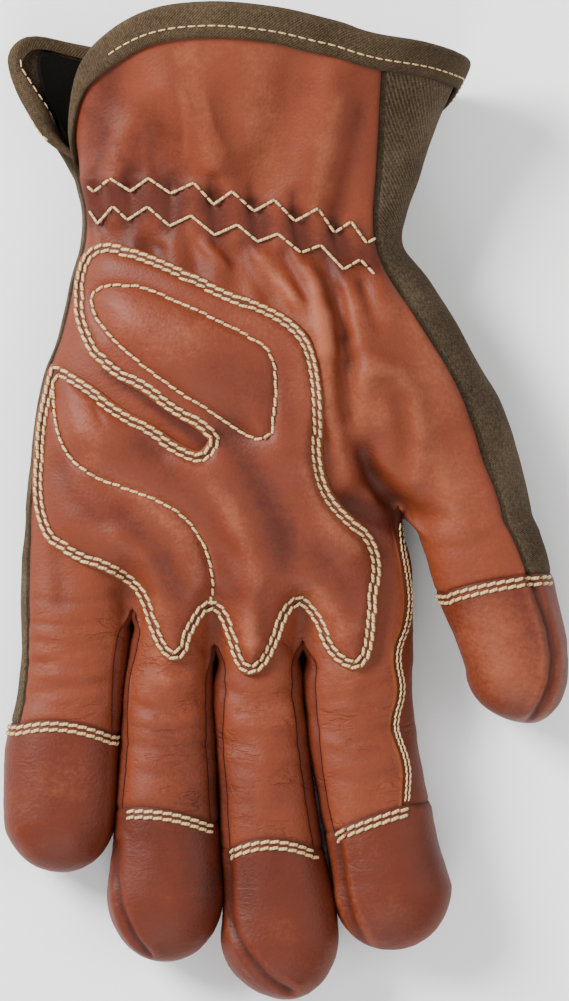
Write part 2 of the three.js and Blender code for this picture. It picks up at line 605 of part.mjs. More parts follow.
// Rail point below the thumb crotch, as the hand runs on to the finger crotches.
function knucklePoint(rail, v, face) {
  const start = railPoint(rail, THUMB_CROTCH_Y, face);
  const end = crotches[rail];
  const y = mix(THUMB_CROTCH_Y, end.y, v);
  let x = railX(rail, y);
  if (rail === 0) x = mix(start.x, face > 0 ? end.x : end.x + 5, v);
  if (rail === 4) x = mix(start.x, face > 0 ? end.x : end.x - 2, v);
  if (rail === 4 && face > 0) x += 1.4 * Math.sin(Math.PI * v);
  return point(x, y, v === 0 ? start.z : skinHeight(x, y, face));
}

function seamX(name, y, side, face) {
  const digit = digits[name];
  const section = digitSection(name, y);
  const column = side > 0 ? 'seamRight' : 'seamLeft';
  const last = digit.rows[digit.rows.length - 1];
  const front = read(digit.rows, 'y', column, Math.max(y, last.y));
  const limit = section.x + side * section.half * 0.995;
  if (face > 0) return side > 0 ? Math.min(front, limit) : Math.max(front, limit);
  const open = name === 'thumb' ? THUMB_CROTCH_Y : crotches[railOf[name][side > 0 ? 1 : 0]].y;
  const spread = mix(1, 0.78, smooth((open - y) / 8));
  return section.x + side * section.half * spread;
}

function capEdge(name, u) {
  const { edge, tilt, bow } = digits[name].cap;
  return edge + tilt * u + bow * u * u;
}

// Front and back rails of a finger, from its crotch (v 0) to the edge of its cap (v 1).
function fingerRail(name, side, face, v) {
  const rail = railOf[name][side > 0 ? 1 : 0];
  const start = knucklePoint(rail, 1, face);
  if (v === 0) return start;
  const far = capEdge(name, 0);
  const section = digitSection(name, far);
  const u = (seamX(name, far, side, face) - section.x) / section.half;
  const y = mix(start.y, capEdge(name, u), v);
  const wanted = seamX(name, y, side, face);
  const joined = mix(start.x, wanted, smooth(v * 6 + (rail % 4 === 0 ? 0 : 1)));
  const z = archHeight(digitSection(name, y), joined, face, SEAM_LIMIT, FINGER_POWER);
  const onFold = face > 0 ? foldHeight(joined, y) + gatherHeight(joined, y) : 0;
  return point(joined, y, Math.max(0, z + onFold));
}

const crotchSpacing = (v) => mix(v, v * v, 0.75);

for (const name of names) {
  const [a, b] = railOf[name];
  for (const face of [1, -1]) {
    const columns = face > 0 ? FRONT : BACK;
    const panel = face > 0 ? 'palm' : 'back';
    skin.grid(panel, KNUCKLE_ROWS, columns, (v, u) => {
      const t = face > 0 ? u : 1 - u;
      const p = knucklePoint(a, v, face);
      const q = knucklePoint(b, v, face);
      if (t === 0) return p;
      if (t === 1) return q;
      const even = mix(t, easeAcross(t), v);
      const x = mix(p.x, q.x, even);
      const y = mix(p.y, q.y, even);
      return point(x, y, skinHeight(x, y, face));
    });
    skin.grid(panel, FINGER_ROWS, columns, (w, u) => {
      const t = face > 0 ? u : 1 - u;
      const v = crotchSpacing(w);
      const p = fingerRail(name, -1, face, v);
      const q = fingerRail(name, 1, face, v);
      if (t === 0) return p;
      if (t === 1) return q;
      const even = easeAcross(t);
      const x = mix(p.x, q.x, even);
      const p0 = knucklePoint(a, 1, face);
      const q0 = knucklePoint(b, 1, face);
      const far = digitSection(name, capEdge(name, 0));
      const end = capEdge(name, (x - far.x) / far.half);
      const y = mix(mix(p0.y, q0.y, even), end, v);
      return point(x, y, skinHeight(x, y, face));
    });
  }
}

// Sides of the fingers: cloth on the little finger, strips at the crotches, leather at the index.
const sides = [
  { name: 'little', side: -1, panel: 'back' },
  { name: 'little', side: 1, panel: 'strip 1' },
  { name: 'ring', side: -1, panel: 'strip 1' },
  { name: 'ring', side: 1, panel: 'strip 2' },
  { name: 'middle', side: -1, panel: 'strip 2' },
  { name: 'middle', side: 1, panel: 'strip 3' },
  { name: 'index', side: -1, panel: 'strip 3' },
  { name: 'index', side: 1, panel: 'index side' },
];
for (const { name, side, panel } of sides) {
  const outside = panel === 'back' || panel === 'index side';
  skin.grid(panel, FINGER_ROWS, panel === 'back' ? OUTER : SIDE, (w, u) => {
    const t = side > 0 ? u : 1 - u;
    const v = crotchSpacing(w);
    const front = fingerRail(name, side, 1, v);
    const back = fingerRail(name, side, -1, v);
    if (t === 0) return front;
    if (t === 1) return back;
    const y = mix(front.y, back.y, t);
    const weight = outside ? 1 : smooth(v * 5);
    return sideArc(front, back, digitSection(name, y), FINGER_POWER, side, t, weight);
  });
}

// Outer sides of the hand between the thumb crotch and the finger crotches.
for (const { rail, side, panel } of [
  { rail: 0, side: -1, panel: 'back' },
  { rail: 4, side: 1, panel: 'index side' },
]) {
  skin.grid(panel, KNUCKLE_ROWS, panel === 'back' ? OUTER : SIDE, (v, u) => {
    const t = side > 0 ? u : 1 - u;
    const front = knucklePoint(rail, v, 1);
    const back = knucklePoint(rail, v, -1);
    if (t === 0) return front;
    if (t === 1) return back;
    if (v === 0 && side < 0) return trunkPoint(THUMB_CROTCH_Y, 12 - t);
    const y = mix(front.y, back.y, t);
    const start = side > 0 ? smooth(v * 2.2) : 1;
    const name = side > 0 ? 'index' : 'little';
    const hand = sideArc(front, back, tubeSection(handRows, y), HAND_POWER, side, t, start);
    const finger = sideArc(front, back, digitSection(name, crotches[rail].y), FINGER_POWER, side, t, start);
    if (side > 0) return hand.lerp(finger, v);
    const wide = sideArc(front, back, tubeSection(trunkRows, THUMB_CROTCH_Y), HAND_POWER, side, t, 1);
    return wide.lerp(hand.lerp(finger, v), smooth(v * 2));
  });
}

// Thumb: leather front and inner side, cloth outer side and back.
function thumbRail(which, v) {
  const face = which.startsWith('front') ? 1 : -1;
  const side = which.endsWith('left') ? -1 : 1;
  const start = railPoint(side > 0 ? 5 : 4, THUMB_CROTCH_Y, face);
  if (v === 0) return start;
  const far = capEdge('thumb', 0);
  const section = digitSection('thumb', far);
  const u = (seamX('thumb', far, side, face) - section.x) / section.half;
  const y = mix(start.y, capEdge('thumb', u), v);
  const x = mix(start.x, seamX('thumb', y, side, face), smooth(v * 2.5));
  const z = thumbHeight(x, y, face);
  return point(x, y, mix(start.z, z, smooth(v * 3)));
}
for (const face of [1, -1]) {
  const prefix = face > 0 ? 'front' : 'back';
  skin.grid(face > 0 ? 'palm' : 'back', THUMB_ROWS, face > 0 ? FRONT : BACK, (w, u) => {
    const t = face > 0 ? u : 1 - u;
    const v = mix(w, crotchSpacing(w), 0.5);
    const p = thumbRail(`${prefix} left`, v);
    const q = thumbRail(`${prefix} right`, v);
    if (t === 0) return p;
    if (t === 1) return q;
    const even = mix(t, easeAcross(t), v);
    const x = mix(p.x, q.x, even);
    const far = digitSection('thumb', capEdge('thumb', 0));
    const y = mix(THUMB_CROTCH_Y, capEdge('thumb', (x - far.x) / far.half), v);
    if (v === 0) return point(x, y, trunkPoint(THUMB_CROTCH_Y, face > 0 ? 4 + t : 6 + u).z);
    const chord = mix(p.z, q.z, even);
    const flat = mix(thumbHeight(p.x, y, face), thumbHeight(q.x, y, face), even);
    return point(x, y, Math.max(0, chord + thumbHeight(x, y, face) - flat));
  });
}
for (const { side, panel, columns } of [
  { side: 1, panel: 'back', columns: WRAP }, { side: -1, panel: 'palm', columns: SIDE },
]) {
  const where = side > 0 ? 'right' : 'left';
  skin.grid(panel, THUMB_ROWS, columns, (w, u) => {
    const t = side > 0 ? u : 1 - u;
    const v = mix(w, crotchSpacing(w), 0.5);
    const front = thumbRail(`front ${where}`, v);
    const back = thumbRail(`back ${where}`, v);
    if (t === 0) return front;
    if (t === 1) return back;
    if (v === 0 && side > 0) return trunkPoint(THUMB_CROTCH_Y, 5 + t);
    const y = mix(front.y, back.y, t);
    const weight = side > 0 ? 1 : smooth(v * 2.5);
    const p = sideArc(front, back, digitSection('thumb', y), FINGER_POWER, side, t, weight);
    if (side < 0) return p;
    const wide = sideArc(front, back, tubeSection(trunkRows, THUMB_CROTCH_Y), HAND_POWER, side, t, 1);
    return wide.lerp(p, smooth(v * 3));
  });
}

// Fingertip caps: rings that start on the cap edge and close on the tip.
for (const name of Object.keys(digits)) {
  const rail = (side, face) => (name === 'thumb'
    ? thumbRail(`${face > 0 ? 'front' : 'back'} ${side > 0 ? 'right' : 'left'}`, 1)
    : fingerRail(name, side, face, 1));
  const section = digitSection(name, capEdge(name, 0));
  const uOf = (side, face) => (rail(side, face).x - section.x) / section.half;
  const start = [];
  const frontLeft = rail(-1, 1);
  const frontRight = rail(1, 1);
  const backLeft = rail(-1, -1);
  const backRight = rail(1, -1);
  const faceRun = (p, q, face, columns) => {
    for (let i = 0; i < columns; i += 1) {
      const t = i / columns;
      const even = face > 0 ? easeAcross(t) : 1 - easeAcross(1 - t);
      const x = mix(p.x, q.x, even);
      const y = capEdge(name, (x - section.x) / section.half);
      const height = name === 'thumb' ? thumbHeight : skinHeight;
      start.push(i === 0 ? p.clone() : point(x, y, height(x, y, face)));
    }
  };
  const sideRun = (p, q, side, columns, reverse) => {
    for (let i = 0; i < columns; i += 1) {
      const u = i / columns;
      const t = reverse ? 1 - u : u;
      const y = mix(p.y, q.y, t);
      start.push(i === 0 ? (reverse ? q.clone() : p.clone())
        : sideArc(p, q, digitSection(name, y), FINGER_POWER, side, t, 1));
    }
  };
  faceRun(frontLeft, frontRight, 1, FRONT);
  sideRun(frontRight, backRight, 1, name === 'thumb' ? WRAP : SIDE, false);
  faceRun(backRight, backLeft, -1, BACK);
  sideRun(frontLeft, backLeft, -1, name === 'little' ? OUTER : SIDE, true);
  const count = start.length;
  const tip = digits[name].tip;
  skin.grid(`cap ${name}`, CAP_ROWS, count, (v, u) => {
    const from = start[Math.round(u * count) % count];
    if (v === 0) return from;
    const base = digitSection(name, from.y);
    const depth = from.z > base.mid ? base.rise : base.fall;
    const reach = Math.sin((v * Math.PI) / 2);
    const y = mix(from.y, tip.y, reach);
    if (v === 1) return point(tip.x, tip.y, base.mid);
    const now = digitSection(name, y);
    const scale = depth > 0 ? (from.z > base.mid ? now.rise : now.fall) / depth : 1;
    const z = now.mid + (from.z - base.mid) * scale;
    return point(now.x + ((from.x - base.x) / base.half) * now.half, y, Math.max(0, z));
  });
}

const materials = {
  leather: { color: 0xa05c48, roughness: 0.5, metalness: 0 },
  tip: { color: 0x73321e, roughness: 0.5, metalness: 0 },
  cloth: { color: 0x5a503e, roughness: 0.9, metalness: 0 },
  patch: { color: 0xa86450, roughness: 0.48, metalness: 0 },
  binding: { color: 0x4a3a2c, roughness: 0.85, metalness: 0 },
  lining: { color: 0x17130f, roughness: 0.95, metalness: 0 },
};

const group = new THREE.Group();
group.name = 'driver_glove';
group.position.set(-CENTRE.x, -CENTRE.y, 0);

function place(name, geometry, look) {
  const mesh = new THREE.Mesh(geometry, new THREE.MeshStandardMaterial(materials[look]));
  mesh.name = name;
  group.add(mesh);
}

place('palm_leather', skin.wall(['palm', 'cuff palm'], LEATHER), 'leather');
place('back_fabric', skin.wall(['back', 'cuff back'], CLOTH), 'cloth');
place('fourchette_little_ring', skin.wall(['strip 1'], LEATHER), 'leather');
place('fourchette_ring_middle', skin.wall(['strip 2'], LEATHER), 'leather');
place('fourchette_middle_index', skin.wall(['strip 3'], LEATHER), 'leather');
place('index_side', skin.wall(['index side'], LEATHER), 'leather');
for (const name of Object.keys(digits)) place(`cap_${name}`, skin.wall([`cap ${name}`], LEATHER), 'tip');

// Closed solid from a grid of points: rows of equal length that close on themselves both ways.
function torus(rings) {
  const count = rings[0].length;
  const triangles = [];
  rings.forEach((ring, r) => {
    const next = (r + 1) % rings.length;
    for (let i = 0; i < count; i += 1) {
      const j = (i + 1) % count;
      triangles.push([r * count + i, next * count + j, r * count + j]);
      triangles.push([r * count + i, next * count + i, next * count + j]);
    }
  });
  return toGeometry(rings.flat(), triangles);
}

// Frame of the cuff's surface: its point, outward normal, and the way out over the rim.
const skinNormals = skin.normals();
function cuffFrame(q, lift) {
  const step = 0.04;
  const wrap = (value) => (value + 12) % 12;
  const here = cuffPoint(q, lift);
  const round = cuffPoint(wrap(q + step), lift).sub(cuffPoint(wrap(q - step), lift)).normalize();
  const rise = cuffPoint(q, lift).sub(cuffPoint(q, Math.max(0, lift - 0.05))).normalize();
  const rim = skinNormals[skin.add(cuffPoint(q, 1))];
  const corner = 1 - smooth(Math.min(q / 0.5, (12 - q) / 0.5));
  const own = lift === 1 ? 1 : corner;
  const normal = round.clone().cross(rise).normalize().lerp(rim, own).normalize();
  const out = normal.clone().cross(round).normalize();
  return { here, normal, out };
}

// Share of the cuff's height that a strip of this width takes at a station.
function stripShare(q, width) {
  const length = cuffPoint(q, 1).distanceTo(cuffPoint(q, 0));
  const narrow = Math.min(smooth((q % 12) / 1.2), smooth((12 - q) / 0.5));
  return clamp((width * mix(0.15, 1, narrow)) / length, 0.02, 0.85);
}

// Binding: a strip outside the wall, over the rim, and back down the inside.
const bindingRings = ringStations.slice(0, -1).map((q) => {
  const rim = cuffFrame(q, 1);
  const foot = cuffFrame(q, 1 - stripShare(q, BINDING_WIDTH));
  const corner = 1 - smooth(Math.min(q / 0.6, (12 - q) / 0.8));
  const inside = LEATHER + CLEAR + 0.5 * corner;
  const at = (frame, outward, over) => {
    const p = frame.here.clone().addScaledVector(frame.normal, outward).addScaledVector(frame.out, over);
    return point(p.x, p.y, Math.max(0, p.z));
  };
  return [
    at(foot, CLEAR, 0), at(foot, CLEAR + BINDING, 0), at(rim, CLEAR + BINDING, 0),
    at(rim, 0.2, CLEAR + BINDING), at(rim, 0.2 - inside, CLEAR + BINDING),
    at(rim, -inside - BINDING, 0), at(foot, -inside - BINDING, 0), at(foot, -inside, 0),
    at(rim, -inside, CLEAR), at(rim, CLEAR, CLEAR),
  ];
});
place('cuff_binding', torus(bindingRings), 'binding');

// Lining: a thin sleeve inside the cuff, from below the binding down into the wrist.
const sleeve = new Skin();
const sleeveAt = (v, q) => {
  const corner = smooth(Math.min(q / 0.9, (12 - q) / 1.1)) ** 1.5;
  const top = (1 - stripShare(q % 12, BINDING_WIDTH + 3.5)) * corner;
  return v < 0.8 ? cuffPoint(q, top * (1 - v / 0.8)) : trunkPoint(CUFF_START - (v - 0.8) * 40, q);
};
sleeve.grid('sleeve', LINING_ROWS, ringStations.length - 1,
  (v, u) => sleeveAt(v, ringStations[Math.round(u * (ringStations.length - 1))]));
place('cuff_lining', sleeve.wall(['sleeve'], LINING, LEATHER + CLEAR), 'lining');

// Solid for the cuts, from a closed geometry.
function solid(geometry) {
  const plain = geometry.clone();
  plain.deleteAttribute('normal');
  plain.deleteAttribute('uv');
  const merged = mergeVertices(plain, 1e-4);
  return new wasm.Manifold(new wasm.Mesh({
    numProp: 3,
    vertProperties: new Float32Array(merged.attributes.position.array),
    triVerts: new Uint32Array(merged.index.array),
  }));
}

// Padded palm patch: a quilted sheet over the palm, trimmed to its outline.
const box = { left: -67, right: 27, low: -46.5, high: 68 };
const sheet = new Skin();
sheet.grid('sheet', PATCH_ROWS, PATCH_COLUMNS, (v, u) => {
  const x = mix(box.left, box.right, u);
  const y = mix(box.high, box.low, v);
  const inset = Math.max(x, railX(0, y) + 1.5);
  return point(x, y, skinHeight(inset, y, 1, false) - 0.2 * Math.exp(-(((y - 68.5) / 13) ** 2)));
});
const lifted = (rise) => sheet.points.map((p) => point(p.x, p.y, p.z + rise));
const sheetCount = sheet.points.length;
const sheetFaces = [];
for (const { corners: [a, b, c, d] } of sheet.faces) {
  sheetFaces.push([a, b, c], [a, c, d]);
}
const sheetRim = [];
for (let c = 0; c <= PATCH_COLUMNS; c += 1) sheetRim.push(c);
for (let r = 1; r <= PATCH_ROWS; r += 1) sheetRim.push(r * (PATCH_COLUMNS + 1) + PATCH_COLUMNS);
for (let c = PATCH_COLUMNS - 1; c >= 0; c -= 1) sheetRim.push(PATCH_ROWS * (PATCH_COLUMNS + 1) + c);
for (let r = PATCH_ROWS - 1; r > 0; r -= 1) sheetRim.push(r * (PATCH_COLUMNS + 1));
const sheetTriangles = [
  ...sheetFaces,
  ...sheetFaces.map(([a, b, c]) => [a + sheetCount, c + sheetCount, b + sheetCount]),
];
sheetRim.forEach((a, i) => {
  const b = sheetRim[(i + 1) % sheetRim.length];
  sheetTriangles.push([a, b, b + sheetCount], [a, b + sheetCount, a + sheetCount]);
});
const pad = toGeometry([...lifted(PATCH_CLEAR + PATCH_RISE), ...lifted(PATCH_CLEAR)], sheetTriangles);
const outline = new THREE.Shape(patchOutline.map(([x, y]) => new THREE.Vector2(x, y)));
const prism = new THREE.ExtrudeGeometry(outline, { depth: 80, bevelEnabled: false });
const trimmed = solid(pad).intersect(solid(prism)).getMesh();
const patch = new THREE.BufferGeometry();
patch.setAttribute('position', new THREE.BufferAttribute(new Float32Array(trimmed.vertProperties), 3));
patch.setIndex(Array.from(trimmed.triVerts));
place('palm_patch', patch, 'patch');

export default group;
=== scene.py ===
"""Leather driver glove for the left hand, lying on its back on a pale floor with the palm up.

The shape tables are in millimetres: fingers point to -Y, the cuff to +Y, the thumb to +X and the palm to +Z.
Every surface is worked out with numpy on a grid, welded into one skin, and cut into its sewn panels.
"""

import logging
import math
from dataclasses import dataclass, field
from enum import Enum
from typing import Any, NamedTuple

import bpy
import numpy as np
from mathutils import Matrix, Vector
from mathutils.bvhtree import BVHTree
from mathutils.geometry import delaunay_2d_cdt


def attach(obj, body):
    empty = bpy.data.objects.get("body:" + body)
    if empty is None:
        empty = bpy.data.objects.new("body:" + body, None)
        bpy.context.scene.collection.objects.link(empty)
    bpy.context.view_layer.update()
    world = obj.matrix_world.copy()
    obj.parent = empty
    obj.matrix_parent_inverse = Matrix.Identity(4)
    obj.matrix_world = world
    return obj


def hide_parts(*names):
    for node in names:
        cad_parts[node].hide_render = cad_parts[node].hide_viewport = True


logging.basicConfig(level=logging.INFO, format="%(message)s")
log = logging.getLogger("glove")

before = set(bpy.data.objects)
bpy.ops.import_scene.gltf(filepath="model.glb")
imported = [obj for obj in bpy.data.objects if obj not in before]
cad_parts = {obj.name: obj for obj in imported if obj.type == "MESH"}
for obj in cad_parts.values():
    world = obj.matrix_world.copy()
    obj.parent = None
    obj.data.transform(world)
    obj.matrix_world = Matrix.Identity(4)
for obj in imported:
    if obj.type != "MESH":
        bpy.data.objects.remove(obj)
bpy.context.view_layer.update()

Array = np.ndarray

CENTRE = (0.187, -0.857)  # middle of the glove in the tables' frame
CUFF_START = 83.0  # Y where the tube of the hand turns into the flared cuff
THUMB_CROTCH_Y = -2.0
FINGER_POWER = 2.35  # squareness of a digit's section, where 2 is an ellipse
HAND_POWER = 2.6
SEAM_LIMIT = 0.86  # share of a finger's half width that its front and back reach
THUMB_LIMIT = 0.9
HAND_LIMIT = 0.97
CROTCH_RADIUS = 0.45  # round eye at a crotch
GAP = 0.06  # half the space between two fingers
RIPPLE = 10.4  # one gather of the wrist elastic
WRIST_MIDDLE = 68.5  # Y of the elastic
WRIST_REACH = 13.0
HIDE_WALL = 1.8
CLOTH_WALL = 1.6
STRIP_WALL = 1.6
TIP_WALL = 1.7
SLEEVE_WALL = 0.9
SLEEVE_DEPTH = 2.3
BINDING_WIDTH = 7.3
SEAM = -0.04  # how far a panel steps back from its seam; below 0 the neighbours overlap
BEVEL = 0.5  # how far a wall's inner face steps back from its seam
FLOOR_CLEAR = 0.02
PIXEL = 0.26  # millimetres for one pixel of the photo
PHOTO_MIDDLE = (284.5, 500.5)
NAMES = ("little", "ring", "middle", "index")


class Face(Enum):
    """Which side of the glove a surface belongs to."""

    PALM = 1
    BACK = -1


class Hand(Enum):
    """Which side of a digit a seam or a side strip is on."""

    LITTLE = -1
    THUMB = 1


class Panel(Enum):
    """The sewn panels that the skin is cut into."""

    PALM = 0
    BACK = 1
    STRIP_1 = 2
    STRIP_2 = 3
    STRIP_3 = 4
    INDEX_SIDE = 5
    CAP_LITTLE = 6
    CAP_RING = 7
    CAP_MIDDLE = 8
    CAP_INDEX = 9
    CAP_THUMB = 10
    SLEEVE = 11


FACE_PANEL = {Face.PALM: Panel.PALM, Face.BACK: Panel.BACK}
STRIPS = {"little_ring": Panel.STRIP_1, "ring_middle": Panel.STRIP_2, "middle_index": Panel.STRIP_3}


def smooth(value: Array | float) -> Array:
    """Returns 0 below 0, 1 above 1 and a smooth step between."""
    t = np.clip(value, 0.0, 1.0)
    return t * t * (3 - 2 * t)


def mix(a: Array | float, b: Array | float, t: Array | float) -> Array:
    """Returns the straight blend from a to b."""
    return a + (b - a) * t


def across(angle: Array, power: float) -> Array:
    """Returns the sideways part of a squared ellipse: the cosine raised to 2 / power, sign kept."""
    c = np.cos(angle)
    return np.sign(c) * np.abs(c) ** (2 / power)


def upward(angle: Array, power: float) -> Array:
    """Returns the upward part of a squared ellipse: the sine raised to 2 / power, sign kept."""
    s = np.sin(angle)
    return np.sign(s) * np.abs(s) ** (2 / power)


def arch(u: Array, power: float) -> Array:
    """Returns the height of a squared ellipse at u across it."""
    return (1 - np.clip(np.abs(u), 0, 1) ** power) ** (1 / power)


def angle_of(u: Array, power: float) -> Array:
    """Returns the angle at which a squared ellipse reaches u across."""
    return np.arccos(np.sign(u) * np.clip(np.abs(u), 0, 1) ** (power / 2))


def ease_across(t: Array) -> Array:
    """Returns t spread so that a finger's columns stand evenly round its arch."""
    return 0.5 - 0.5 * np.cos(math.pi * mix(0.13, 0.87, t)) / math.cos(math.pi * 0.13)


def hash_unit(ix: Array, iy: Array, iz: Array, seed: int) -> Array:
    """Returns a repeatable number from -1 to 1 for each lattice cell.

    Args:
        ix: cell numbers along X.
        iy: cell numbers along Y.
        iz: cell numbers along Z.
        seed: picks one of many such patterns.

    Returns:
        One number for each cell.
    """
    n = (ix * 374761393 + iy * 668265263 + iz * 2147483647 + seed * 974634777) & 0xFFFFFFFF
    n = ((n ^ (n >> 13)) * 1274126177) & 0xFFFFFFFF
    n = n ^ (n >> 16)
    return (n & 0xFFFF) / 32767.5 - 1


def noise(points: Array, scale: float, seed: int = 0) -> Array:
    """Returns smooth value noise: lattice numbers blended with a smooth step on each axis.

    Args:
        points: positions in millimetres, last axis x, y, z.
        scale: size of one lattice cell in millimetres.
        seed: picks another pattern.

    Returns:
        Values from -1 to 1, one per point.
    """
    p = points / scale
    base = np.floor(p).astype(np.int64)
    f = p - base
    f = f * f * (3 - 2 * f)
    total = np.zeros(points.shape[:-1])
    for dx, dy, dz in np.ndindex(2, 2, 2):
        weight = (
            (f[..., 0] if dx else 1 - f[..., 0])
            * (f[..., 1] if dy else 1 - f[..., 1])
            * (f[..., 2] if dz else 1 - f[..., 2])
        )
        total = total + weight * hash_unit(base[..., 0] + dx, base[..., 1] + dy, base[..., 2] + dz, seed)
    return total


class Table:
    """Rows of named numbers, read as smooth curves through the rows."""

    def __init__(self, columns: str, rows: tuple[tuple[float, ...], ...]) -> None:
        """Keeps the rows sorted by their first column.

        Args:
            columns: names of the columns, the first one being the key.
            rows: one tuple of numbers a row.
        """
        self.columns = columns.split()
        self.values = np.array(sorted(rows), float)

    def read(self, column: str, at: Array | float) -> Array:
        """Returns a column at any keys: cubic pieces whose slope at a row is the mean of its two sides.

        Args:
            column: name of the column.
            at: keys, held inside the table's first and last.

        Returns:
            One value for each key.
        """
        k = self.values[:, 0]
        c = self.values[:, self.columns.index(column)]
        x = np.asarray(at, float)
        i = np.clip(np.searchsorted(k, x, side="left") - 1, 0, len(k) - 2)
        slope = np.diff(c) / np.diff(k)
        before = np.concatenate([slope[:1], (slope[:-1] + slope[1:]) / 2])
        after = np.concatenate([(slope[:-1] + slope[1:]) / 2, slope[-1:]])
        step = k[i + 1] - k[i]
        t = np.clip((x - k[i]) / step, 0, 1)
        t2, t3 = t * t, t * t * t
        return (
            (2 * t3 - 3 * t2 + 1) * c[i]
            + (t3 - 2 * t2 + t) * step * before[i]
            + (3 * t2 - 2 * t3) * c[i + 1]
            + (t3 - t2) * step * after[i]
        )


class Section(NamedTuple):
    """Squared ellipse of a tube at some rows: centre, half width, middle height, rise and fall."""

    x: Array
    half: Array
    mid: Array
    rise: Array
    fall: Array


@dataclass(frozen=True)
class Digit:
    """One finger or the thumb: tip point, cap edge, depth and the table of its sections."""

    tip: tuple[float, float]
    edge: float
    tilt: float
    bow: float
    top: float
    mid: float
    rows: Table

    @property
    def last(self) -> float:
        """Returns the Y of the last full section, where the round tip begins."""
        return float(self.rows.values[0, 0])

    def cap_edge(self, u: Array | float) -> Array:
        """Returns the Y of the cap's edge at u across the digit."""
        return self.edge + self.tilt * np.asarray(u) + self.bow * np.asarray(u) ** 2


SECTION_COLUMNS = "y left right seam_left seam_right"
DIGITS: dict[str, Digit] = {
    "little": Digit((-57.9, -96.6), -56.8, -1.4, -3.4, 24.4, 12.5, Table(SECTION_COLUMNS, (
        (-26, -68.3, -39.3, -66.0, -39.7), (-29, -68.4, -39.4, -66.1, -39.9),
        (-33.7, -68.4, -39.9, -66.3, -42.6), (-38.9, -68.5, -40.4, -66.4, -43.6),
        (-51.9, -69.8, -42.0, -67.5, -44.6), (-61.0, -71.8, -42.8, -69.2, -44.6),
        (-71.4, -72.8, -43.3, -70.2, -45.1), (-81.8, -72.9, -44.0, -70.3, -45.9)))),
    "ring": Digit((-30.6, -119.7), -79.8, -2.2, -2.4, 24.4, 12.5, Table(SECTION_COLUMNS, (
        (-26, -39.3, -18.3, -39.0, -18.2), (-29, -39.4, -18.3, -39.2, -18.2),
        (-33.7, -39.9, -18.2, -37.7, -18.0), (-38.4, -40.3, -18.1, -38.4, -18.3),
        (-45.4, -41.1, -18.6, -40.0, -20.2), (-51.9, -41.8, -18.6, -40.6, -20.2),
        (-64.9, -42.8, -17.8, -41.0, -20.0), (-77.9, -43.6, -17.3, -41.9, -19.3),
        (-90.9, -44.8, -16.7, -42.6, -18.8), (-101.3, -46.2, -15.8, -43.2, -18.2)))),
    "middle": Digit((0.9, -129.3), -87.2, 0.0, -4.2, 24.4, 12.5, Table(SECTION_COLUMNS, (
        (-26, -18.2, 4.6, -18.0, 4.7), (-36.3, -18.1, 4.7, -17.9, 4.8),
        (-41.5, -18.2, 4.7, -16.2, 2.2), (-49.3, -18.5, 4.8, -15.8, 2.3),
        (-62.3, -17.8, 6.0, -16.0, 3.5), (-77.9, -17.0, 8.1, -15.0, 5.7),
        (-90.9, -16.4, 10.3, -14.2, 7.9), (-102.6, -15.8, 12.7, -13.9, 9.8),
        (-113.0, -16.4, 13.9, -13.9, 10.8)))),
    "index": Digit((26.9, -116.7), -81.0, 5.0, -1.0, 24.4, 12.5, Table(SECTION_COLUMNS, (
        (-26, 4.6, 33.4, 4.7, 30.0), (-36.3, 4.7, 33.4, 4.8, 29.4),
        (-41.5, 4.7, 33.3, 7.6, 28.5), (-49.3, 4.9, 33.0, 7.8, 29.4),
        (-62.3, 6.3, 34.7, 9.0, 29.6), (-76.6, 8.6, 37.4, 10.8, 32.3),
        (-89.6, 10.8, 40.1, 13.5, 35.2), (-100.0, 12.6, 43.3, 15.5, 37.3)))),
    "thumb": Digit((63.6, -57.6), -20.4, 3.0, -1.2, 28.5, 14.0, Table(SECTION_COLUMNS, (
        (30, 12.0, 53.6, 14.0, 44.0), (10.5, 20.2, 61.0, 21.0, 51.1),
        (-2, 30.8, 64.2, 30.8, 55.8), (-5.1, 32.6, 65.4, 34.4, 57.0),
        (-9.0, 34.4, 66.7, 36.6, 58.6), (-12.9, 35.9, 68.0, 38.4, 60.3),
        (-20.7, 38.4, 69.8, 41.0, 63.1), (-28.5, 41.5, 71.4, 43.8, 65.9),
        (-36.3, 44.9, 72.9, 47.2, 68.2), (-44.1, 47.5, 73.5, 50.1, 69.0)))),
}

TRUNK = Table("y left right seam fold top mid", (
    (83, -54.5, 34.6, 23.5, 7.8, 36, 17), (74.2, -52.6, 31.5, 22.8, 6.6, 34.5, 16.5),
    (66, -52.9, 30.9, 23.6, 6.8, 34, 16), (57.3, -55.5, 37.6, 26.9, 8.2, 35, 16),
    (49.5, -57.1, 42.8, 31.9, 9.5, 36, 16), (41.7, -59.1, 47.2, 37.1, 11.1, 36.5, 16),
    (33.9, -62.0, 51.4, 42.0, 12.6, 36, 15.5), (26.1, -63.6, 55.8, 45.9, 14.2, 35, 15),
    (18.3, -64.9, 58.9, 48.8, 16.5, 34, 14.5), (10.5, -65.9, 61.0, 51.1, 20.2, 32.5, 14),
    (2.7, -66.7, 63.1, 54.2, 26.8, 31, 13.5), (-2, -67.2, 64.2, 55.8, 30.8, 30, 13)))
HAND = Table("y left right top mid", (
    (34, -62.0, 30.0, 35.5, 15.5), (10.5, -65.9, 30.2, 32, 14), (-2, -67.2, 30.8, 30, 13),
    (-9, -67.6, 33.2, 29, 13), (-16, -68.0, 33.3, 28, 12.8), (-26, -68.2, 33.4, 26.8, 12.6),
    (-40, -68.6, 33.4, 25.6, 12.5)))
CROTCHES = np.array([(-66.1, -29), (-39.4, -28.5), (-18.1, -37.6), (4.7, -36.3), (29.5, -38.0)], float)
WRIST_RAILS = (0.0, -36.5, -21.6, -7.2)
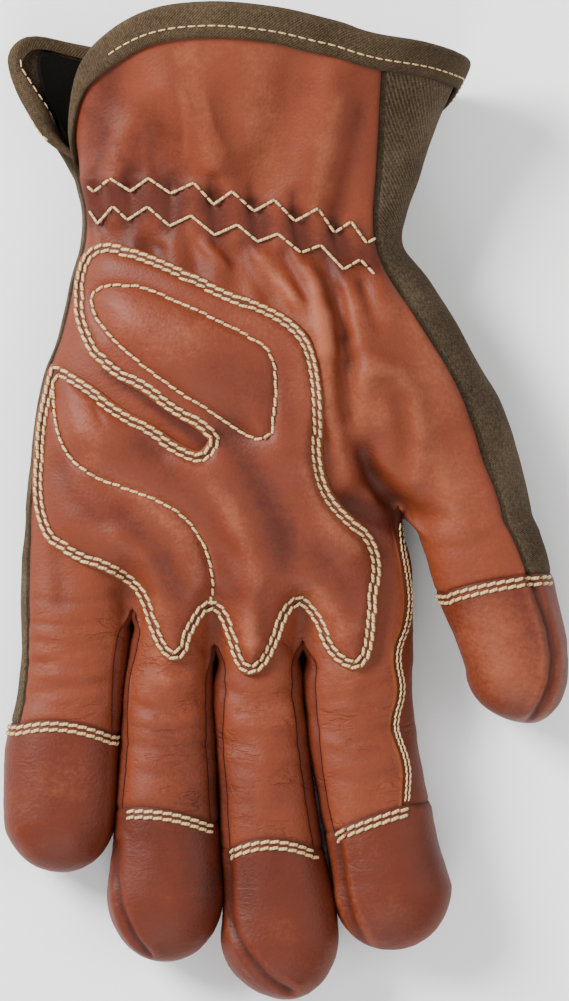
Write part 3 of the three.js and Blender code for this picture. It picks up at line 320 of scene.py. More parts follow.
RIM = Table("q x y z", (
    (0, -53.4, 87.4, 20), (0.25, -54.5, 96.3, 24), (0.6, -52.4, 109.3, 31), (0.85, -48.5, 115.6, 36),
    (1, -44.1, 119.2, 40), (1.4, -35.0, 123.6, 45), (2, -22.0, 125.5, 48), (3, -3.8, 124.2, 50),
    (4, 11.8, 120.8, 49), (5, 25.1, 117.1, 46), (5.3, 36.5, 115.6, 40), (5.6, 45.1, 113.5, 30),
    (5.8, 46.7, 112.5, 20), (6, 43.6, 107.2, 6.5), (7, 22.2, 107.2, 3.2), (8, 1.4, 109.3, 3.0),
    (9, -19.4, 112.2, 3.0), (10, -40.2, 115.0, 3.4), (10.6, -55.8, 117.9, 5), (11, -67.2, 119.3, 8),
    (11.2, -70.6, 116.0, 10), (11.4, -69.9, 110.5, 11), (11.6, -66.2, 102.6, 13), (11.8, -60.0, 93.6, 16),
    (12, -53.4, 87.4, 20)))

# Soft folds: x0, y0, x1, y1, width, height; a ridge where the height is positive.
FOLDS = (
    (8, 56, 10, 24, 3.2, 1.6), (10, 24, 26, 2, 3.4, 1.4), (-2, 62, 6, 44, 2.6, 1.2),
    (16, 58, 22, 36, 3.2, 1.2), (14, 52, 17, 24, 2.6, -1.5), (22, 30, 30, 10, 9, 2.4),
    (24, 4, 33, -3, 3.2, -2.2), (-44, 4, -14, -14, 4.5, -1.6), (-62, 22, -48, 14, 7, 1.4),
    (-30, 104, -16, 88, 6, 2.2), (-42, 104, -33, 86, 5, -1.8), (12, 106, 4, 80, 4.5, 2.0),
    (2, 108, -6, 84, 5, -1.6), (-22, -52, -40, -55, 2.2, -0.7), (-66, -42, -46, -39, 2.0, -0.7),
    (-66, -50, -46, -48, 2.0, -0.7), (-15, -62, 3, -61, 2.2, -0.6), (9, -56, 30, -61, 2.4, -0.8))

PATCH_OUTLINE = np.array([
    (-52.1, 61.5), (-49.8, 64.4), (-45.6, 65.7), (-40.2, 64.4), (-33.1, 61.8), (-23.8, 57.6),
    (-14.5, 53.2), (-5.3, 49.5), (0.8, 46.1), (5.0, 42.0), (7.3, 36.9), (8.7, 28.5), (9.1, 19.4),
    (8.9, 12.6), (10.0, 5.6), (12.6, 0.1), (16.8, -4.5), (21.4, -8.7), (23.7, -13.4), (24.2, -18.6),
    (23.5, -24.1), (23.0, -30.0), (21.9, -38.5), (20.0, -42.2), (17.4, -43.0), (13.5, -40.8),
    (10.7, -37.1), (8.4, -31.6), (5.6, -27.8), (3.4, -26.4), (0.7, -29.2), (-1.8, -35.4),
    (-4.8, -41.5), (-8.2, -44.2), (-11.6, -42.7), (-14.4, -35.0), (-16.2, -30.0), (-18.9, -27.6),
    (-21.2, -29.1), (-24.3, -34.6), (-26.2, -39.6), (-29.2, -40.6), (-32.2, -37.6), (-34.7, -31.6),
    (-37.2, -24.6), (-41.0, -20.7), (-46.5, -17.6), (-52.5, -15.2), (-57.6, -12.3), (-61.3, -9.2),
    (-63.6, -2.7), (-64.2, 3.8), (-63.9, 11.3), (-63.2, 19.6), (-61.6, 27.5), (-59.8, 34.0),
    (-58.1, 34.0), (-50.2, 29.0), (-43.3, 23.8), (-33.9, 18.3), (-27.9, 14.2), (-22.8, 11.8),
    (-20.4, 12.6), (-18.6, 15.5), (-19.6, 16.8), (-22.3, 19.1), (-29.2, 23.3), (-36.3, 28.5),
    (-42.8, 32.1), (-48.0, 36.3), (-49.4, 37.8), (-52.0, 43.4), (-53.4, 48.5), (-53.4, 51.9),
    (-53.4, 56.0)], float)


def photo_line(*flat: float) -> Array:
    """Returns a traced line, given as pairs of photo coordinates, in the tables' millimetres."""
    pairs = np.array(flat, float).reshape(-1, 2)
    return np.stack([(pairs[:, 0] - PHOTO_MIDDLE[0]) * PIXEL, (PHOTO_MIDDLE[1] - pairs[:, 1]) * PIXEL], -1)


# The cut edge of the palm hide down the outer side of the index finger.
INDEX_EDGE = photo_line(
    398, 508, 396, 524, 397, 545, 402, 572, 405, 600, 402, 625, 396, 641, 393, 654, 394, 668, 397, 684, 396,
    699, 392, 713, 391, 727, 395, 741, 400, 755, 403, 772, 402, 792, 401, 815)
QUILT_UPPER = photo_line(
    93.8, 301, 97, 294, 109, 288, 125, 288, 148, 291.6, 175, 303, 207, 317.5, 237.5, 332.7, 260.7, 346,
    271.4, 358.6, 276, 378, 275, 399.6, 272, 431.8, 266, 438, 255, 439, 243, 433.6, 210.7, 412, 175, 389,
    139, 362, 112.5, 337, 98, 317.5, 93.8, 301)
QUILT_LOWER = photo_line(
    55.7, 382, 56.6, 403.6, 60, 430, 70, 453.6, 86, 469.6, 109, 482, 136, 491, 163, 502, 186, 518,
    200, 535.7, 209, 559, 213, 582, 212, 598, 212, 604)
ZIGZAG_UPPER = photo_line(
    89, 189, 95.5, 194.5, 112, 182, 132, 194.5, 150, 182, 172, 197, 195, 187, 214.5, 208, 232.7, 195.5,
    254.5, 214.5, 274.5, 203.6, 295, 224.5, 317.7, 212, 334, 235.5, 350.5, 224.5, 366, 245.5, 376, 240)
ZIGZAG_LOWER = photo_line(
    91, 213.6, 99, 225.5, 114.5, 209, 129, 222.7, 149, 210, 171, 229, 192, 219, 215.5, 238, 238, 228,
    258, 244.5, 278, 237, 301, 255.5, 320.5, 248, 343, 272, 359.5, 262, 374, 277)


class GloveForm:
    """The outer surface of the glove as functions of place, in millimetres."""

    def trunk_section(self, y: Array) -> Section:
        """Returns the wide section of hand and thumb root."""
        return self.tube_section(TRUNK, y)

    def tube_section(self, rows: Table, y: Array) -> Section:
        """Returns a tube's section from its table: left, right, top and middle height."""
        left, right, mid = rows.read("left", y), rows.read("right", y), rows.read("mid", y)
        return Section((left + right) / 2, (right - left) / 2, mid, rows.read("top", y) - mid, mid + 0.8)

    @staticmethod
    def open_eye(drop: Array) -> Array:
        """Returns how far a finger's side steps back below its crotch: a round eye that narrows again.

        Args:
            drop: distance below the crotch.

        Returns:
            Distances, 0 above the crotch.
        """
        r = CROTCH_RADIUS
        inside = np.sqrt(np.maximum(0, r**2 - (r - np.clip(drop, 0, r)) ** 2))
        beyond = GAP + (r - GAP) * np.exp(-(((drop - r) / 7) ** 2))
        return np.where(drop <= 0, 0, np.where(drop < r, inside, beyond))

    def digit_section(self, name: str, y: Array | float) -> Section:
        """Returns a digit's section, with its elliptical tip and the eyes at its crotches.

        Args:
            name: the digit.
            y: positions along it.

        Returns:
            Its sections at those rows.
        """
        digit = DIGITS[name]
        y = np.asarray(y, float)
        into = np.clip((digit.last - y) / (digit.last - digit.tip[1]), 0, 1)
        round_ = np.sqrt(np.maximum(0, 1 - into**2))
        held = np.maximum(y, digit.last)
        left = digit.rows.read("left", held)
        right = digit.rows.read("right", held)
        if name == "thumb":
            left = left + self.open_eye(THUMB_CROTCH_Y - y)
        else:
            a = NAMES.index(name)
            if a > 0:
                left = left + self.open_eye(CROTCHES[a, 1] - y)
            if a < 3:
                right = right - self.open_eye(CROTCHES[a + 1, 1] - y)
        left = mix(digit.tip[0], left, round_)
        right = mix(digit.tip[0], right, round_)
        rise, fall = (digit.top - digit.mid) * round_, (digit.mid + 0.7) * round_
        return Section((left + right) / 2, (right - left) / 2, digit.mid + 0 * y, rise, fall)

    def carried(self, name: str, start: Array, y: Array) -> Array:
        """Returns a digit's points carried along it, each keeping its place in the section as that shrinks.

        Args:
            name: the digit.
            start: points on its surface.
            y: the rows that they are carried to.

        Returns:
            The points on those rows.
        """
        base, now = self.digit_section(name, start[..., 1]), self.digit_section(name, y)
        high = start[..., 2] > base.mid
        depth = np.maximum(np.where(high, base.rise, base.fall), 1e-9)
        scale = np.where(high, now.rise, now.fall) / depth
        x = now.x + (start[..., 0] - base.x) / base.half * now.half
        return np.stack([x, y, now.mid + (start[..., 2] - base.mid) * scale], -1)

    @staticmethod
    def arch_height(section: Section, x: Array, face: Face, limit: Array | float, power: float) -> Array:
        """Returns the palm or back height of a section at x, its sides held at the limit.

        Args:
            section: the tube's section.
            x: positions across it.
            face: palm side or back.
            limit: share of the half width that x is held to.
            power: squareness of the section.

        Returns:
            Heights over the floor.
        """
        u = np.clip((x - section.x) / np.maximum(section.half, 1e-9), -limit, limit)
        h = arch(u, power)
        if face is Face.PALM:
            return section.mid + section.rise * h
        return np.maximum(0, section.mid - section.fall * h)

    @staticmethod
    def fold_height(x: Array, y: Array) -> Array:
        """Returns the sum of the soft folds: a bell across each line that fades past its ends.

        Args:
            x: positions across the hand.
            y: positions along the hand.

        Returns:
            Heights to add.
        """
        total = np.zeros(np.broadcast(x, y).shape)
        for x0, y0, x1, y1, width, height in FOLDS:
            dx, dy = x1 - x0, y1 - y0
            length = math.hypot(dx, dy)
            along = ((x - x0) * dx + (y - y0) * dy) / length
            side = ((x - x0) * dy - (y - y0) * dx) / length
            beyond = np.maximum(0, np.maximum(-along, along - length))
            total = total + height * np.exp(-((side / width) ** 2) - ((beyond / (1.5 * width)) ** 2))
        return total

    @staticmethod
    def gather_height(x: Array, y: Array) -> Array:
        """Returns the gathers of the wrist elastic: ripples across the hand inside a band."""
        fade = np.exp(-(((y - WRIST_MIDDLE + 0.11 * (x + 52)) / WRIST_REACH) ** 2))
        return fade * (0.9 * np.cos((2 * math.pi * (x + 0.12 * y)) / RIPPLE) - 1.1)

    def rail_x(self, rail: int, y: Array | float) -> Array:
        """Returns the X of a seam line between two finger columns of the hand.

        Args:
            rail: 0 at the little finger's side, then each crotch, to 5 at the thumb's side.
            y: positions along the hand.

        Returns:
            Positions across the hand.
        """
        y = np.asarray(y, float)
        if rail == 0:
            return TRUNK.read("left", y) + mix(1.2, 2.0, smooth((20 - y) / 60))
        if rail == 4:
            return TRUNK.read("fold", y)
        if rail == 5:
            return TRUNK.read("seam", y)
        start, (end, low) = WRIST_RAILS[rail], CROTCHES[rail]
        return mix(start, end, smooth((CUFF_START - y) / (CUFF_START - low)))

    def finger_index(self, x: Array, y: Array) -> Array:
        """Returns which finger's column, 0 to 3, holds each point.

        Args:
            x: positions across the hand.
            y: positions along the hand.

        Returns:
            Numbers from 0 to 3.
        """
        found = np.zeros(np.broadcast(x, y).shape, int)
        for rail in (1, 2, 3):
            a, b = self.digit_section(NAMES[rail - 1], y), self.digit_section(NAMES[rail], y)
            between = (a.x + a.half + b.x - b.half) / 2
            line = np.where(y > CROTCHES[rail, 1], self.rail_x(rail, y), between)
            found = found + (x >= line)
        return found

    def height(self, x: Array, y: Array, face: Face, gathered: bool = True) -> Array:
        """Returns the height of the outer surface over the floor.

        The wide trunk section blends into the hand's and the thumb's own sections below the thumb root,
        and each finger column blends into its finger's section above its crotch.

        Args:
            x: positions across the hand.
            y: positions along the hand.
            face: palm side or back.
            gathered: whether the wrist gathers are added.

        Returns:
            Heights in millimetres.
        """
        x, y = np.broadcast_arrays(np.asarray(x, float), np.asarray(y, float))
        trunk = self.arch_height(self.trunk_section(y), x, face, HAND_LIMIT, HAND_POWER)
        rail = self.rail_x(4, np.maximum(y, THUMB_CROTCH_Y))
        is_thumb = (x > rail) & (y > THUMB_CROTCH_Y - 1e-9)
        fork = smooth((32 - y) / (32 - THUMB_CROTCH_Y))
        hand_section = self.tube_section(HAND, y)
        thumb_section = self.digit_section("thumb", y)
        hand_edge = self.arch_height(hand_section, rail, face, HAND_LIMIT, HAND_POWER)
        root = self.arch_height(thumb_section, rail, face, THUMB_LIMIT, FINGER_POWER)
        near = smooth(1 - (x - rail) / 9)
        thumb = self.arch_height(thumb_section, x, face, THUMB_LIMIT, FINGER_POWER)
        thumb = thumb + (hand_edge - root) * near
        hand = mix(trunk, self.arch_height(hand_section, x, face, HAND_LIMIT, HAND_POWER), fork)
        found = self.finger_index(x, y)
        a, b = CROTCHES[found], CROTCHES[found + 1]
        t = np.clip((x - a[..., 0]) / (b[..., 0] - a[..., 0]), 0, 1)
        split = smooth(1 - (y - mix(a[..., 1], b[..., 1], t)) / 20)
        finger = np.zeros(x.shape)
        for i, name in enumerate(NAMES):
            own = self.arch_height(self.digit_section(name, y), x, face, SEAM_LIMIT, FINGER_POWER)
            finger = np.where(found == i, own, finger)
        z = np.where(is_thumb, mix(trunk, thumb, fork), np.where(fork > 0, mix(hand, finger, split), trunk))
        if face is Face.PALM:
            return z + self.fold_height(x, y) + (self.gather_height(x, y) if gathered else 0)
        return np.maximum(0, z + np.where(z > 0.05, 0.5 * self.gather_height(x, y), 0))

    def thumb_height(self, x: Array, y: Array, face: Face) -> Array:
        """Returns the height of the free part of the thumb.

        Args:
            x: positions across the hand.
            y: positions along the hand.
            face: palm side or back.

        Returns:
            Heights over the floor.
        """
        limit = mix(THUMB_LIMIT, SEAM_LIMIT, smooth((THUMB_CROTCH_Y - y) / 10))
        z = self.arch_height(self.digit_section("thumb", y), x, face, limit, FINGER_POWER)
        if face is Face.BACK:
            return z
        return z + self.fold_height(x, y) + self.gather_height(x, y)

    def rail_point(self, rail: int, y: Array | float, face: Face) -> Array:
        """Returns the point of a seam line of the hand, on the palm side or the back.

        Args:
            rail: number of the seam line, as in rail_x.
            y: positions along the hand.
            face: palm side or back.

        Returns:
            Points of the outer surface.
        """
        y = np.asarray(y, float)
        x = TRUNK.read("right", y) - 9 if rail == 5 and face is Face.BACK else self.rail_x(rail, y)
        if rail == 0 and face is Face.BACK:
            x = x + 5
        return np.stack([x, y, self.height(x, y, face)], -1)

    @staticmethod
    def side_arc(
        front: Array, back: Array, section: Section, power: float, hand: Hand, t: Array, weight: Array | float
    ) -> Array:
        """Returns the side of a tube from its front seam, round the silhouette, to its back seam.

        Args:
            front: points of the front seam.
            back: points of the back seam.
            section: the tube's section at those points.
            power: squareness of the section.
            hand: which side of the tube.
            t: 0 at the front seam and 1 at the back seam.
            weight: 0 for the straight chord and 1 for the full arc.

        Returns:
            Points, one for each t.
        """
        start = angle_of((front[..., 0] - section.x) / section.half, power)
        end = angle_of((back[..., 0] - section.x) / section.half, power)
        end = -end if hand is Hand.THUMB else 2 * math.pi - end

        def on_arc(angle: Array) -> tuple[Array, Array]:
            """Returns x and z of the section at an angle."""
            h = upward(angle, power)
            z = section.mid + np.where(h > 0, section.rise, section.fall) * h
            return section.x + section.half * across(angle, power), z

        (xf, zf), (xb, zb), (x, z) = on_arc(start), on_arc(end), on_arc(mix(start, end, t))
        return np.stack([
            mix(front[..., 0], back[..., 0], t) + weight * (x - mix(xf, xb, t)),
            mix(front[..., 1], back[..., 1], t) + 0 * x,
            np.maximum(0, mix(front[..., 2], back[..., 2], t) + weight * (z - mix(zf, zb, t))),
        ], -1)

    def trunk_point(self, y: Array | float, q: Array) -> Array:
        """Returns points of the trunk's closed ring, with the palm, the wrap, the back and the other side.

        Args:
            y: positions along the hand.
            q: stations: 0 to 5 on the palm side, 6 to 11 on the back.

        Returns:
            Points of the outer surface.
        """
        y, q = np.broadcast_arrays(np.asarray(y, float), np.asarray(q, float))
        result = np.zeros((*q.shape, 3))
        for face, inside in ((Face.PALM, q <= 5), (Face.BACK, (q >= 6) & (q <= 11))):
            station = q if face is Face.PALM else 11 - q
            low = np.clip(np.floor(station).astype(int), 0, 4)
            xs = np.stack([self.rail_point(rail, y, face)[..., 0] for rail in range(6)])
            pick = np.take_along_axis(xs, low[None], 0)[0]
            after = np.take_along_axis(xs, low[None] + 1, 0)[0]
            x = mix(pick, after, np.clip(station - low, 0, 1))
            points = np.stack([x, y, self.height(x, y, face)], -1)
            result = np.where(inside[..., None], points, result)
        section = self.trunk_section(y)
        for rail, hand, inside in ((5, Hand.THUMB, (q > 5) & (q < 6)), (0, Hand.LITTLE, q > 11)):
            front, back = self.rail_point(rail, y, Face.PALM), self.rail_point(rail, y, Face.BACK)
            t = np.clip(q - 5 if hand is Hand.THUMB else 12 - q, 0, 1)
            points = self.side_arc(front, back, section, HAND_POWER, hand, t, 1.0)
            result = np.where(inside[..., None], points, result)
        return result

    def cuff_point(self, q: Array, lift: Array | float) -> Array:
        """Returns points of the cuff: a smooth flare from the wrist ring (lift 0) to the rim (lift 1).

        Args:
            q: stations round the cuff, as in trunk_point.
            lift: height up the cuff.

        Returns:
            Points of the outer surface.
        """
        q, lift = np.broadcast_arrays(np.asarray(q, float), np.asarray(lift, float))
        base = self.trunk_point(CUFF_START + 0 * q, q)
        below = self.trunk_point(CUFF_START - 1.5 + 0 * q, q)
        rim = np.stack([RIM.read(axis, q) for axis in "xyz"], -1)
        chord = rim - base
        length = np.linalg.norm(chord, axis=-1, keepdims=True)
        flare = smooth(length / 30)
        start = (base - below) * (length / 1.5 * 0.6)
        start = mix(start, chord, 1 - 0.6 * flare)
        t = lift[..., None]
        p = base + chord * t + (start - chord) * ((t**3 - 2 * t * t + t) * flare)
        shape = self.fold_height(p[..., 0], p[..., 1]) + self.gather_height(p[..., 0], p[..., 1])
        held = self.fold_height(base[..., 0], base[..., 1]) + self.gather_height(base[..., 0], base[..., 1])
        inner = np.where(q < 5, smooth((5 - q) / 0.5) * smooth(q / 0.3), 0)
        p[..., 2] += inner * (shape * smooth((1 - lift) * 4) - held * (1 - lift))
        p[..., 2] = np.maximum(0, p[..., 2])
        return p

    def knuckle_point(self, rail: int, v: Array | float, face: Face) -> Array:
        """Returns a seam line point between the thumb crotch (v 0) and the finger crotches (v 1).

        Args:
            rail: number of the seam line, as in rail_x.
            v: share of the way.
            face: palm side or back.

        Returns:
            Points of the outer surface.
        """
        v = np.asarray(v, float)
        start = self.rail_point(rail, THUMB_CROTCH_Y, face)
        end = CROTCHES[rail]
        y = mix(THUMB_CROTCH_Y, end[1], v)
        if rail == 0:
            x = mix(start[0], end[0] + (0 if face is Face.PALM else 5), v)
        elif rail < 4:
            x = self.rail_x(rail, y)
        elif face is Face.PALM:
            x = mix(start[0], self.index_edge_x(y), smooth(v * 5))
        else:
            x = mix(start[0], end[0] - 2, v)
        z = np.where(v == 0, start[2], self.height(x, y, face))
        return np.stack(np.broadcast_arrays(x, y, z), -1)

    @staticmethod
    def index_edge_x(y: Array) -> Array:
        """Returns the X of the wavy cut edge down the index finger."""
        edge = smooth_path(INDEX_EDGE, 0.8)[::-1]
        return np.interp(y, edge[:, 1], edge[:, 0])

    def seam_x(self, name: str, y: Array, hand: Hand, face: Face) -> Array:
        """Returns the X of a digit's lengthwise seam.

        Args:
            name: the digit.
            y: positions along it.
            hand: side of the digit.
            face: palm side or back.

        Returns:
            Positions across the hand.
        """
        digit, section = DIGITS[name], self.digit_section(name, y)
        column = "seam_right" if hand is Hand.THUMB else "seam_left"
        side = hand.value
        front = digit.rows.read(column, np.maximum(y, digit.last))
        if name == "index" and hand is Hand.THUMB:
            front = self.index_edge_x(y)
        limit = section.x + side * section.half * 0.995
        if face is Face.PALM:
            return np.minimum(front, limit) if side > 0 else np.maximum(front, limit)
        opening = THUMB_CROTCH_Y if name == "thumb" else CROTCHES[NAMES.index(name) + (side > 0), 1]
        return section.x + side * section.half * mix(1, 0.78, smooth((opening - y) / 8))

    def finger_rail(self, name: str, hand: Hand, face: Face, v: Array | float) -> Array:
        """Returns a finger's seam from its crotch (v 0) to the edge of its cap (v 1).

        Args:
            name: the finger.
            hand: side of the finger.
            face: palm side or back.
            v: share of the way.

        Returns:
            Points of the outer surface.
        """
        v = np.asarray(v, float)
        digit = DIGITS[name]
        rail = NAMES.index(name) + (hand is Hand.THUMB)
        start = self.knuckle_point(rail, 1.0, face)
        section = self.digit_section(name, digit.edge)
        u = (self.seam_x(name, np.asarray(digit.edge), hand, face) - section.x) / section.half
        y = mix(start[1], digit.cap_edge(u), v)
        wanted = self.seam_x(name, y, hand, face)
        joined = mix(start[0], wanted, smooth(v * 6 + (0 if rail % 4 == 0 else 1)))
        z = self.arch_height(self.digit_section(name, y), joined, face, SEAM_LIMIT, FINGER_POWER)
        if face is Face.PALM:
            z = z + self.fold_height(joined, y) + self.gather_height(joined, y)
        points = np.stack(np.broadcast_arrays(joined, y, np.maximum(0, z)), -1)
        return np.where((v == 0)[..., None], start, points)

    def thumb_rail(self, hand: Hand, face: Face, v: Array | float) -> Array:
        """Returns a thumb's seam from the thumb crotch row (v 0) to the edge of its cap (v 1).

        Args:
            hand: side of the thumb.
            face: palm side or back.
            v: share of the way.

        Returns:
            Points of the outer surface.
        """
        v = np.asarray(v, float)
        digit = DIGITS["thumb"]
        start = self.rail_point(5 if hand is Hand.THUMB else 4, THUMB_CROTCH_Y, face)
        section = self.digit_section("thumb", digit.edge)
        u = (self.seam_x("thumb", np.asarray(digit.edge), hand, face) - section.x) / section.half
        y = mix(start[1], digit.cap_edge(u), v)
        x = mix(start[0], self.seam_x("thumb", y, hand, face), smooth(v * 2.5))
        z = mix(start[2], self.thumb_height(x, y, face), smooth(v * 3))
        points = np.stack(np.broadcast_arrays(x, y, z), -1)
        return np.where((v == 0)[..., None], start, points)

    def rail(self, name: str, hand: Hand, face: Face, v: Array | float) -> Array:
        """Returns a digit's seam, finger or thumb."""
        if name == "thumb":
            return self.thumb_rail(hand, face, v)
        return self.finger_rail(name, hand, face, v)


class Skin:
    """Grids of points welded into one skin of labelled panels.

    Each point carries two cloth coordinates in millimetres, measured along the surface round and down the
    glove.
    """

    def __init__(self) -> None:
        """Starts an empty skin."""
        self.blocks: list[Array] = []
        self.cloth: list[Array] = []
        self.faces: list[Array] = []
        self.labels: list[Array] = []
        self.total = 0
        self.points = np.zeros((0, 3))
        self.weave = np.zeros((0, 2))
        self.quads = np.zeros((0, 4), int)
        self.label = np.zeros(0, int)
        self.inverse = np.zeros(0, int)
        self.normals = np.zeros((0, 3))

    def grid(self, panel: Panel, points: Array, cloth: Array | None = None) -> Array:
        """Adds a grid whose rows run to the fingertips and whose columns run round the glove.

        Args:
            panel: the panel that the faces belong to.
            points: array of rows, columns and x, y, z.
            cloth: cloth coordinates of the points, or None where the piece isn't cloth.

        Returns:
            The numbers of the points before welding, as rows and columns.
        """
        rows, columns = points.shape[:2]
        ids = self.total + np.arange(rows * columns).reshape(rows, columns)
        self.blocks.append(points.reshape(-1, 3))
        self.cloth.append((points[..., :2] if cloth is None else cloth).reshape(-1, 2))
        self.total += rows * columns
        quads = np.stack([ids[:-1, :-1], ids[1:, :-1], ids[1:, 1:], ids[:-1, 1:]], -1).reshape(-1, 4)
        self.faces.append(quads)
        self.labels.append(np.full(len(quads), panel.value))
        return ids

    def weld(self) -> None:
        """Merges points that share a cell of a thousandth of a millimetre."""
        points = np.concatenate(self.blocks)
        key = np.floor(points / 1e-3 + 0.5137).astype(np.int64)
        _, first, inverse = np.unique(key, axis=0, return_index=True, return_inverse=True)
        self.inverse = inverse.reshape(-1)
        self.points = points[first]
        self.weave = np.concatenate(self.cloth)[first]
        self.quads = self.inverse[np.concatenate(self.faces)]
        self.label = np.concatenate(self.labels)
        self.normals = vertex_normals(self.points, self.quads)


def relax(points: Array, quads: Array, weight: Array, rounds: int) -> Array:
    """Returns points moved towards the mean of their neighbours, some rounds over.

    Args:
        points: the points.
        quads: the faces that join them.
        weight: how far each point moves, from 0 to 1.
        rounds: how many times.

    Returns:
        The moved points.
    """
    a, b = quads.ravel(), np.roll(quads, -1, axis=1).ravel()
    used = np.maximum(np.bincount(a, minlength=len(points)) + np.bincount(b, minlength=len(points)), 1)
    for _ in range(rounds):
        total = np.stack([np.bincount(a, points[b, i], len(points))
                          + np.bincount(b, points[a, i], len(points)) for i in range(3)], -1)
        points = mix(points, total / used[:, None], weight[:, None])
    return points


def unit(vectors: Array) -> Array:
    """Returns vectors at length one, and zero vectors unchanged."""
    return vectors / np.maximum(np.linalg.norm(vectors, axis=-1, keepdims=True), 1e-12)


def vertex_normals(points: Array, quads: Array) -> Array:
    """Returns each point's normal: the sum of the crossed diagonals of its faces.

    Args:
        points: the points.
        quads: faces of four point numbers.

    Returns:
        One unit vector for each point.
    """
    a, b, c, d = (points[quads[:, i]] for i in range(4))
    crossed = np.cross(c - a, d - b)
    total = np.zeros_like(points)
    for i in range(4):
        for axis in range(3):
            total[:, axis] += np.bincount(quads[:, i], crossed[:, axis], len(points))
    return unit(total)


def arc_length(points: Array) -> Array:
    """Returns the way run along each row of points, from 0 at its first point."""
    steps = np.linalg.norm(np.diff(points, axis=-2), axis=-1)
    return np.concatenate([0 * steps[..., :1], np.cumsum(steps, -1)], -1)


def distance_to_path(xy: Array, path: Array) -> Array:
    """Returns the distance in the XY plane from points to the nearest segment of a path.

    Args:
        xy: places.
        path: points of an open path.

    Returns:
        One distance for each place.
    """
    if len(path) == 1:
        return np.linalg.norm(xy - path[0], axis=-1)
    best = np.full(xy.shape[:-1], np.inf)
    for a, b in zip(path[:-1], path[1:]):
        along = b - a
        t = np.clip(((xy - a) @ along) / (along @ along), 0, 1)
        best = np.minimum(best, np.linalg.norm(xy - a - t[..., None] * along, axis=-1))
    return best


def inside_path(xy: Array, path: Array) -> Array:
    """Returns whether points lie inside a closed path: an odd number of edges crossed by a ray to +X.

    Args:
        xy: places.
        path: points of a closed path.

    Returns:
        One boolean for each place.
    """
    x, y = xy[..., 0], xy[..., 1]
    inside = np.zeros(x.shape, bool)
    for a, b in zip(path, np.roll(path, -1, axis=0)):
        if a[1] != b[1]:
            crosses = (a[1] > y) != (b[1] > y)
            inside ^= crosses & (x < (b[0] - a[0]) * (y - a[1]) / (b[1] - a[1]) + a[0])
    return inside


def ring_inside(path: Array, step: float, slack: float) -> Array:
    """Returns a closed path moved inwards by a step, less the points that come too near to the path.

    Args:
        path: the closed path.
        step: distance inwards, or outwards where it is negative.
        slack: how much nearer than the step a kept point may be.

    Returns:
        The kept points, each moved along the normal at its place.
    """
    way = unit(np.roll(path, -1, axis=0) - np.roll(path, 1, axis=0))
    inward = np.stack([way[:, 1], -way[:, 0]], -1)
    if not inside_path(path[:1] + 0.3 * inward[:1], path)[0]:
        inward = -inward
    ring = path + inward * step
    return ring[distance_to_path(ring, np.concatenate([path, path[:1]])) > abs(step) - slack]


def smooth_path(path: Array, step: float, closed: bool = False) -> Array:
    """Returns a smooth curve through a path's points, resampled at an even step.

    Between two points the curve is the cubic whose end slopes are half the chord of the neighbours on each
    side.

    Args:
        path: points, two or three numbers each.
        step: distance between samples in millimetres.
        closed: whether the last point joins the first.

    Returns:
        The samples; a closed curve doesn't repeat its first one.
    """
    if closed:
        p = np.concatenate([path[-1:], path, path[:2]])
    else:
        p = np.concatenate([2 * path[:1] - path[1:2], path, 2 * path[-1:] - path[-2:-1]])
    t = np.linspace(0, 1, 24, endpoint=False)[:, None]
    a, b, c, d = (p[i : len(p) - 3 + i, None] for i in range(4))
    curve = 0.5 * (2 * b + (c - a) * t + (2 * a - 5 * b + 4 * c - d) * t**2 + (3 * b - a - 3 * c + d) * t**3)
    curve = np.concatenate([curve.reshape(-1, path.shape[1]), p[-2:-1]])
    length = arc_length(curve)
    count = max(2, round(length[-1] / step))
    at = np.linspace(0, length[-1], count + 1)[: count if closed else None]
    return np.stack([np.interp(at, length, curve[:, i]) for i in range(path.shape[1])], -1)


def even_path(path: Array, step: float) -> Array:
    """Returns a zigzag's needle holes: each straight leg in equal stitches near the step, corners kept.

    Args:
        path: corners of the zigzag.
        step: wanted length of a stitch.

    Returns:
        The holes, first to last.
    """
    length = np.linalg.norm(np.diff(path, axis=0), axis=1)
    counts = np.maximum(1, np.round(length / step)).astype(int)
    legs = [mix(a, b, (np.arange(n) / n)[:, None]) for a, b, n in zip(path[:-1], path[1:], counts)]
    return np.concatenate([*legs, path[-1:]])


class Fold(NamedTuple):
    """A soft ridge or crease: a bell of this width and height across a path."""

    path: Array
    width: float
    height: float


def fold_table(*rows: tuple[float, ...]) -> tuple[Fold, ...]:
    """Returns folds from rows of a width, a height and a line traced on the photo."""
    return tuple(Fold(photo_line(*line), width, height) for width, height, *line in rows)


